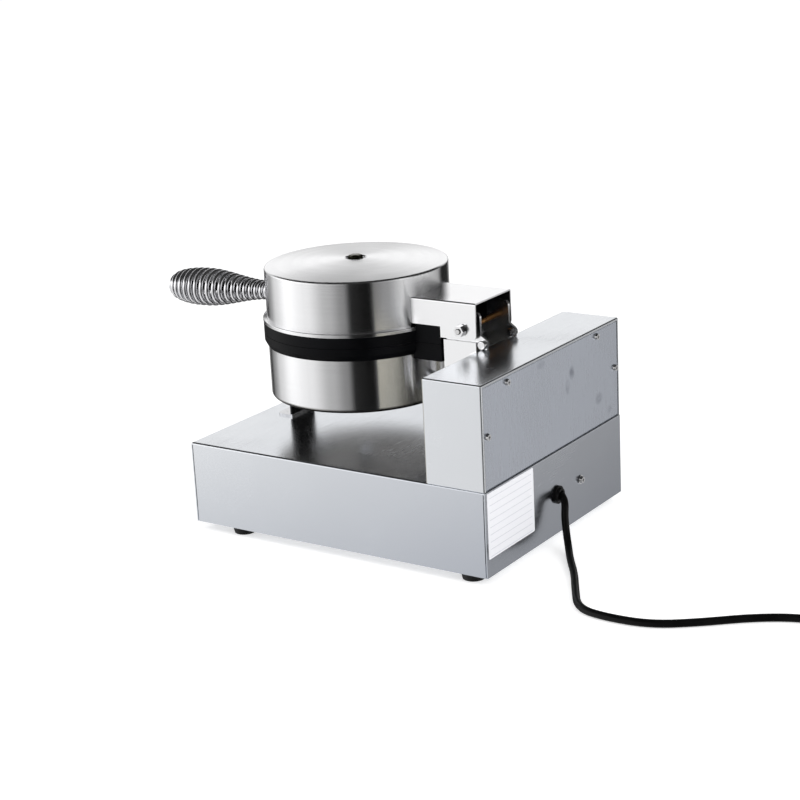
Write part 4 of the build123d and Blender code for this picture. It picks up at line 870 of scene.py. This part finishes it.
def make_floor():
    """White floor for the camera that keeps a soft shadow."""
    mesh = bpy.data.meshes.new("floor")
    corners = [(x * FLOOR_REACH, y * FLOOR_REACH, 0) for x, y in ((-1, -1), (1, -1), (1, 1), (-1, 1))]
    mesh.from_pydata(corners, [], [(0, 1, 2, 3)])
    floor = bpy.data.objects.new("floor", mesh)
    floor.location.z = -FLOOR_DROP
    scene.collection.objects.link(floor)
    material = bpy.data.materials.new("floor")
    material.use_nodes = True
    nodes = material.node_tree.nodes
    nodes.clear()
    output = nodes.new("ShaderNodeOutputMaterial")
    diffuse = nodes.new("ShaderNodeBsdfDiffuse")
    diffuse.inputs["Color"].default_value = (0.8, 0.8, 0.8, 1)
    veil = nodes.new("ShaderNodeEmission")
    veil.inputs["Strength"].default_value = FLOOR_VEIL
    total = nodes.new("ShaderNodeAddShader")
    clear = nodes.new("ShaderNodeBsdfTransparent")
    path = nodes.new("ShaderNodeLightPath")
    camera_mix = nodes.new("ShaderNodeMixShader")
    glossy_mix = nodes.new("ShaderNodeMixShader")
    link(material, diffuse.outputs[0], total.inputs[0])
    link(material, veil.outputs[0], total.inputs[1])
    link(material, path.outputs["Is Camera Ray"], camera_mix.inputs[0])
    link(material, diffuse.outputs[0], camera_mix.inputs[1])
    link(material, total.outputs[0], camera_mix.inputs[2])
    link(material, path.outputs["Is Glossy Ray"], glossy_mix.inputs[0])
    link(material, camera_mix.outputs[0], glossy_mix.inputs[1])
    link(material, clear.outputs[0], glossy_mix.inputs[2])
    link(material, glossy_mix.outputs[0], output.inputs["Surface"])
    mesh.materials.append(material)


# What metal sees round the studio: brightness by azimuth from the camera, in degrees anticlockwise
STUDIO_BANDS = [
    (-180, 0.7),
    (-168, 0.6),
    (-154, 0.02),
    (-138, 0.5),
    (-122, 1.15),
    (-98, 1.75),
    (-68, 1.37),
    (-38, 0.71),
    (-18, 0.37),
    (-8, 0.02),
    (16, 0.0),
    (23, 0.3),
    (36, 0.45),
    (64, 1.1),
    (86, 1.7),
    (106, 0.86),
    (119, 0.68),
    (131, 0.02),
    (154, 0.02),
    (168, 0.6),
    (180, 0.7),
]
BELOW_LEVEL = 0.78
HORIZON_LEVEL = 1.25
BACK_LEVEL = 1.3
TOP_LEVEL = 0.04
SHADED_AMOUNT = 0.92

# Where the levels change: heights as the direction's Z, then shares of a turn
HORIZON_RANGE = (-0.3, 0.1)
RAISED_RANGE = (0.0, 0.12)
OVERHEAD_RANGE = (0.4, 0.52)
BACKDROP_RANGE = (0.36, 0.44)
SHADED_RANGE = (0.66, 0.72)


def make_studio():
    """White for the camera, a plain level for diffuse light, and the studio's bands for metal."""
    world = bpy.data.worlds.new("studio")
    scene.world = world
    world.use_nodes = True
    tree = world.node_tree
    tree.nodes.clear()
    output = tree.nodes.new("ShaderNodeOutputWorld")
    direction = tree.nodes.new("ShaderNodeTexCoord")
    split = tree.nodes.new("ShaderNodeSeparateXYZ")
    tree.links.new(direction.outputs["Generated"], split.inputs[0])
    azimuth = math_node(world, "ARCTAN2", split.outputs["Y"], split.outputs["X"])
    turned = math_node(world, "SUBTRACT", azimuth, radians(CAMERA_AZIMUTH))
    share = math_node(world, "DIVIDE", turned, 2 * pi)
    share = math_node(world, "FRACT", math_node(world, "ADD", share, 1.5), 0)
    ramp = tree.nodes.new("ShaderNodeValToRGB")
    ramp.color_ramp.interpolation = "EASE"
    stops = ramp.color_ramp.elements
    stops.remove(stops[1])
    for index, (degrees_from_camera, level) in enumerate(STUDIO_BANDS):
        place = 0.5 + degrees_from_camera / 360
        stop = stops[0] if index == 0 else stops.new(place)
        stop.position = place
        stop.color = (level, level, level, 1)
    tree.links.new(share, ramp.inputs[0])
    below = spread(world, split.outputs["Z"], *HORIZON_RANGE, BELOW_LEVEL, HORIZON_LEVEL)
    bands = math_node(world, "MULTIPLY", ramp.outputs["Color"], below)
    behind = math_node(world, "ABSOLUTE", math_node(world, "SUBTRACT", share, 0.5), 0)
    raised = spread(world, split.outputs["Z"], *RAISED_RANGE, 0, 1)
    backdrop = math_node(world, "MULTIPLY", raised, spread(world, behind, *BACKDROP_RANGE, 0, 1))
    shade = spread(world, share, *SHADED_RANGE, 0, SHADED_AMOUNT)
    shaded = math_node(world, "MULTIPLY", raised, shade)
    bands = math_node(world, "MULTIPLY", bands, math_node(world, "SUBTRACT", 1, shaded))
    overhead = spread(world, split.outputs["Z"], *OVERHEAD_RANGE, 0, 1)
    front_part = math_node(world, "MULTIPLY", bands, math_node(world, "SUBTRACT", 1, backdrop))
    around = math_node(world, "ADD", front_part, math_node(world, "MULTIPLY", backdrop, BACK_LEVEL))
    around = math_node(world, "MULTIPLY", around, math_node(world, "SUBTRACT", 1, overhead))
    level = math_node(world, "ADD", around, math_node(world, "MULTIPLY", overhead, TOP_LEVEL))
    metal = tree.nodes.new("ShaderNodeBackground")
    tree.links.new(level, metal.inputs["Strength"])
    plain = tree.nodes.new("ShaderNodeBackground")
    plain.inputs["Strength"].default_value = DIFFUSE_LEVEL
    white = tree.nodes.new("ShaderNodeBackground")
    white.inputs["Color"].default_value = (1, 1, 1, 1)
    path = tree.nodes.new("ShaderNodeLightPath")
    glossy_mix = tree.nodes.new("ShaderNodeMixShader")
    camera_mix = tree.nodes.new("ShaderNodeMixShader")
    tree.links.new(path.outputs["Is Glossy Ray"], glossy_mix.inputs[0])
    tree.links.new(plain.outputs[0], glossy_mix.inputs[1])
    tree.links.new(metal.outputs[0], glossy_mix.inputs[2])
    either = math_node(world, "MAXIMUM", path.outputs["Is Camera Ray"], path.outputs["Is Transmission Ray"])
    tree.links.new(either, camera_mix.inputs[0])
    tree.links.new(glossy_mix.outputs[0], camera_mix.inputs[1])
    tree.links.new(white.outputs[0], camera_mix.inputs[2])
    tree.links.new(camera_mix.outputs[0], output.inputs["Surface"])


# Lamps: name, place and power
LAMPS = (
    ("key", (1.6, -1.6, 2.2), 22.0),
    ("fill", (0.4, 2.2, 1.2), 26.0),
)
LAMP_SIZE = 1.6
LAMP_AIM = Vector((0, 0, 0.1))


def soft_box(name, place, power):
    """A square lamp aimed at the machine that metal doesn't show as a patch."""
    data = bpy.data.lights.new(name, "AREA")
    data.shape = "SQUARE"
    data.size = LAMP_SIZE
    data.energy = power
    lamp = bpy.data.objects.new(name, data)
    lamp.location = place
    lamp.rotation_mode = "QUATERNION"
    lamp.rotation_quaternion = (Vector(place) - LAMP_AIM).to_track_quat("Z", "Y")
    lamp.visible_glossy = False
    scene.collection.objects.link(lamp)


make_floor()
make_studio()
for lamp_name, lamp_place, lamp_power in LAMPS:
    soft_box(lamp_name, lamp_place, lamp_power)
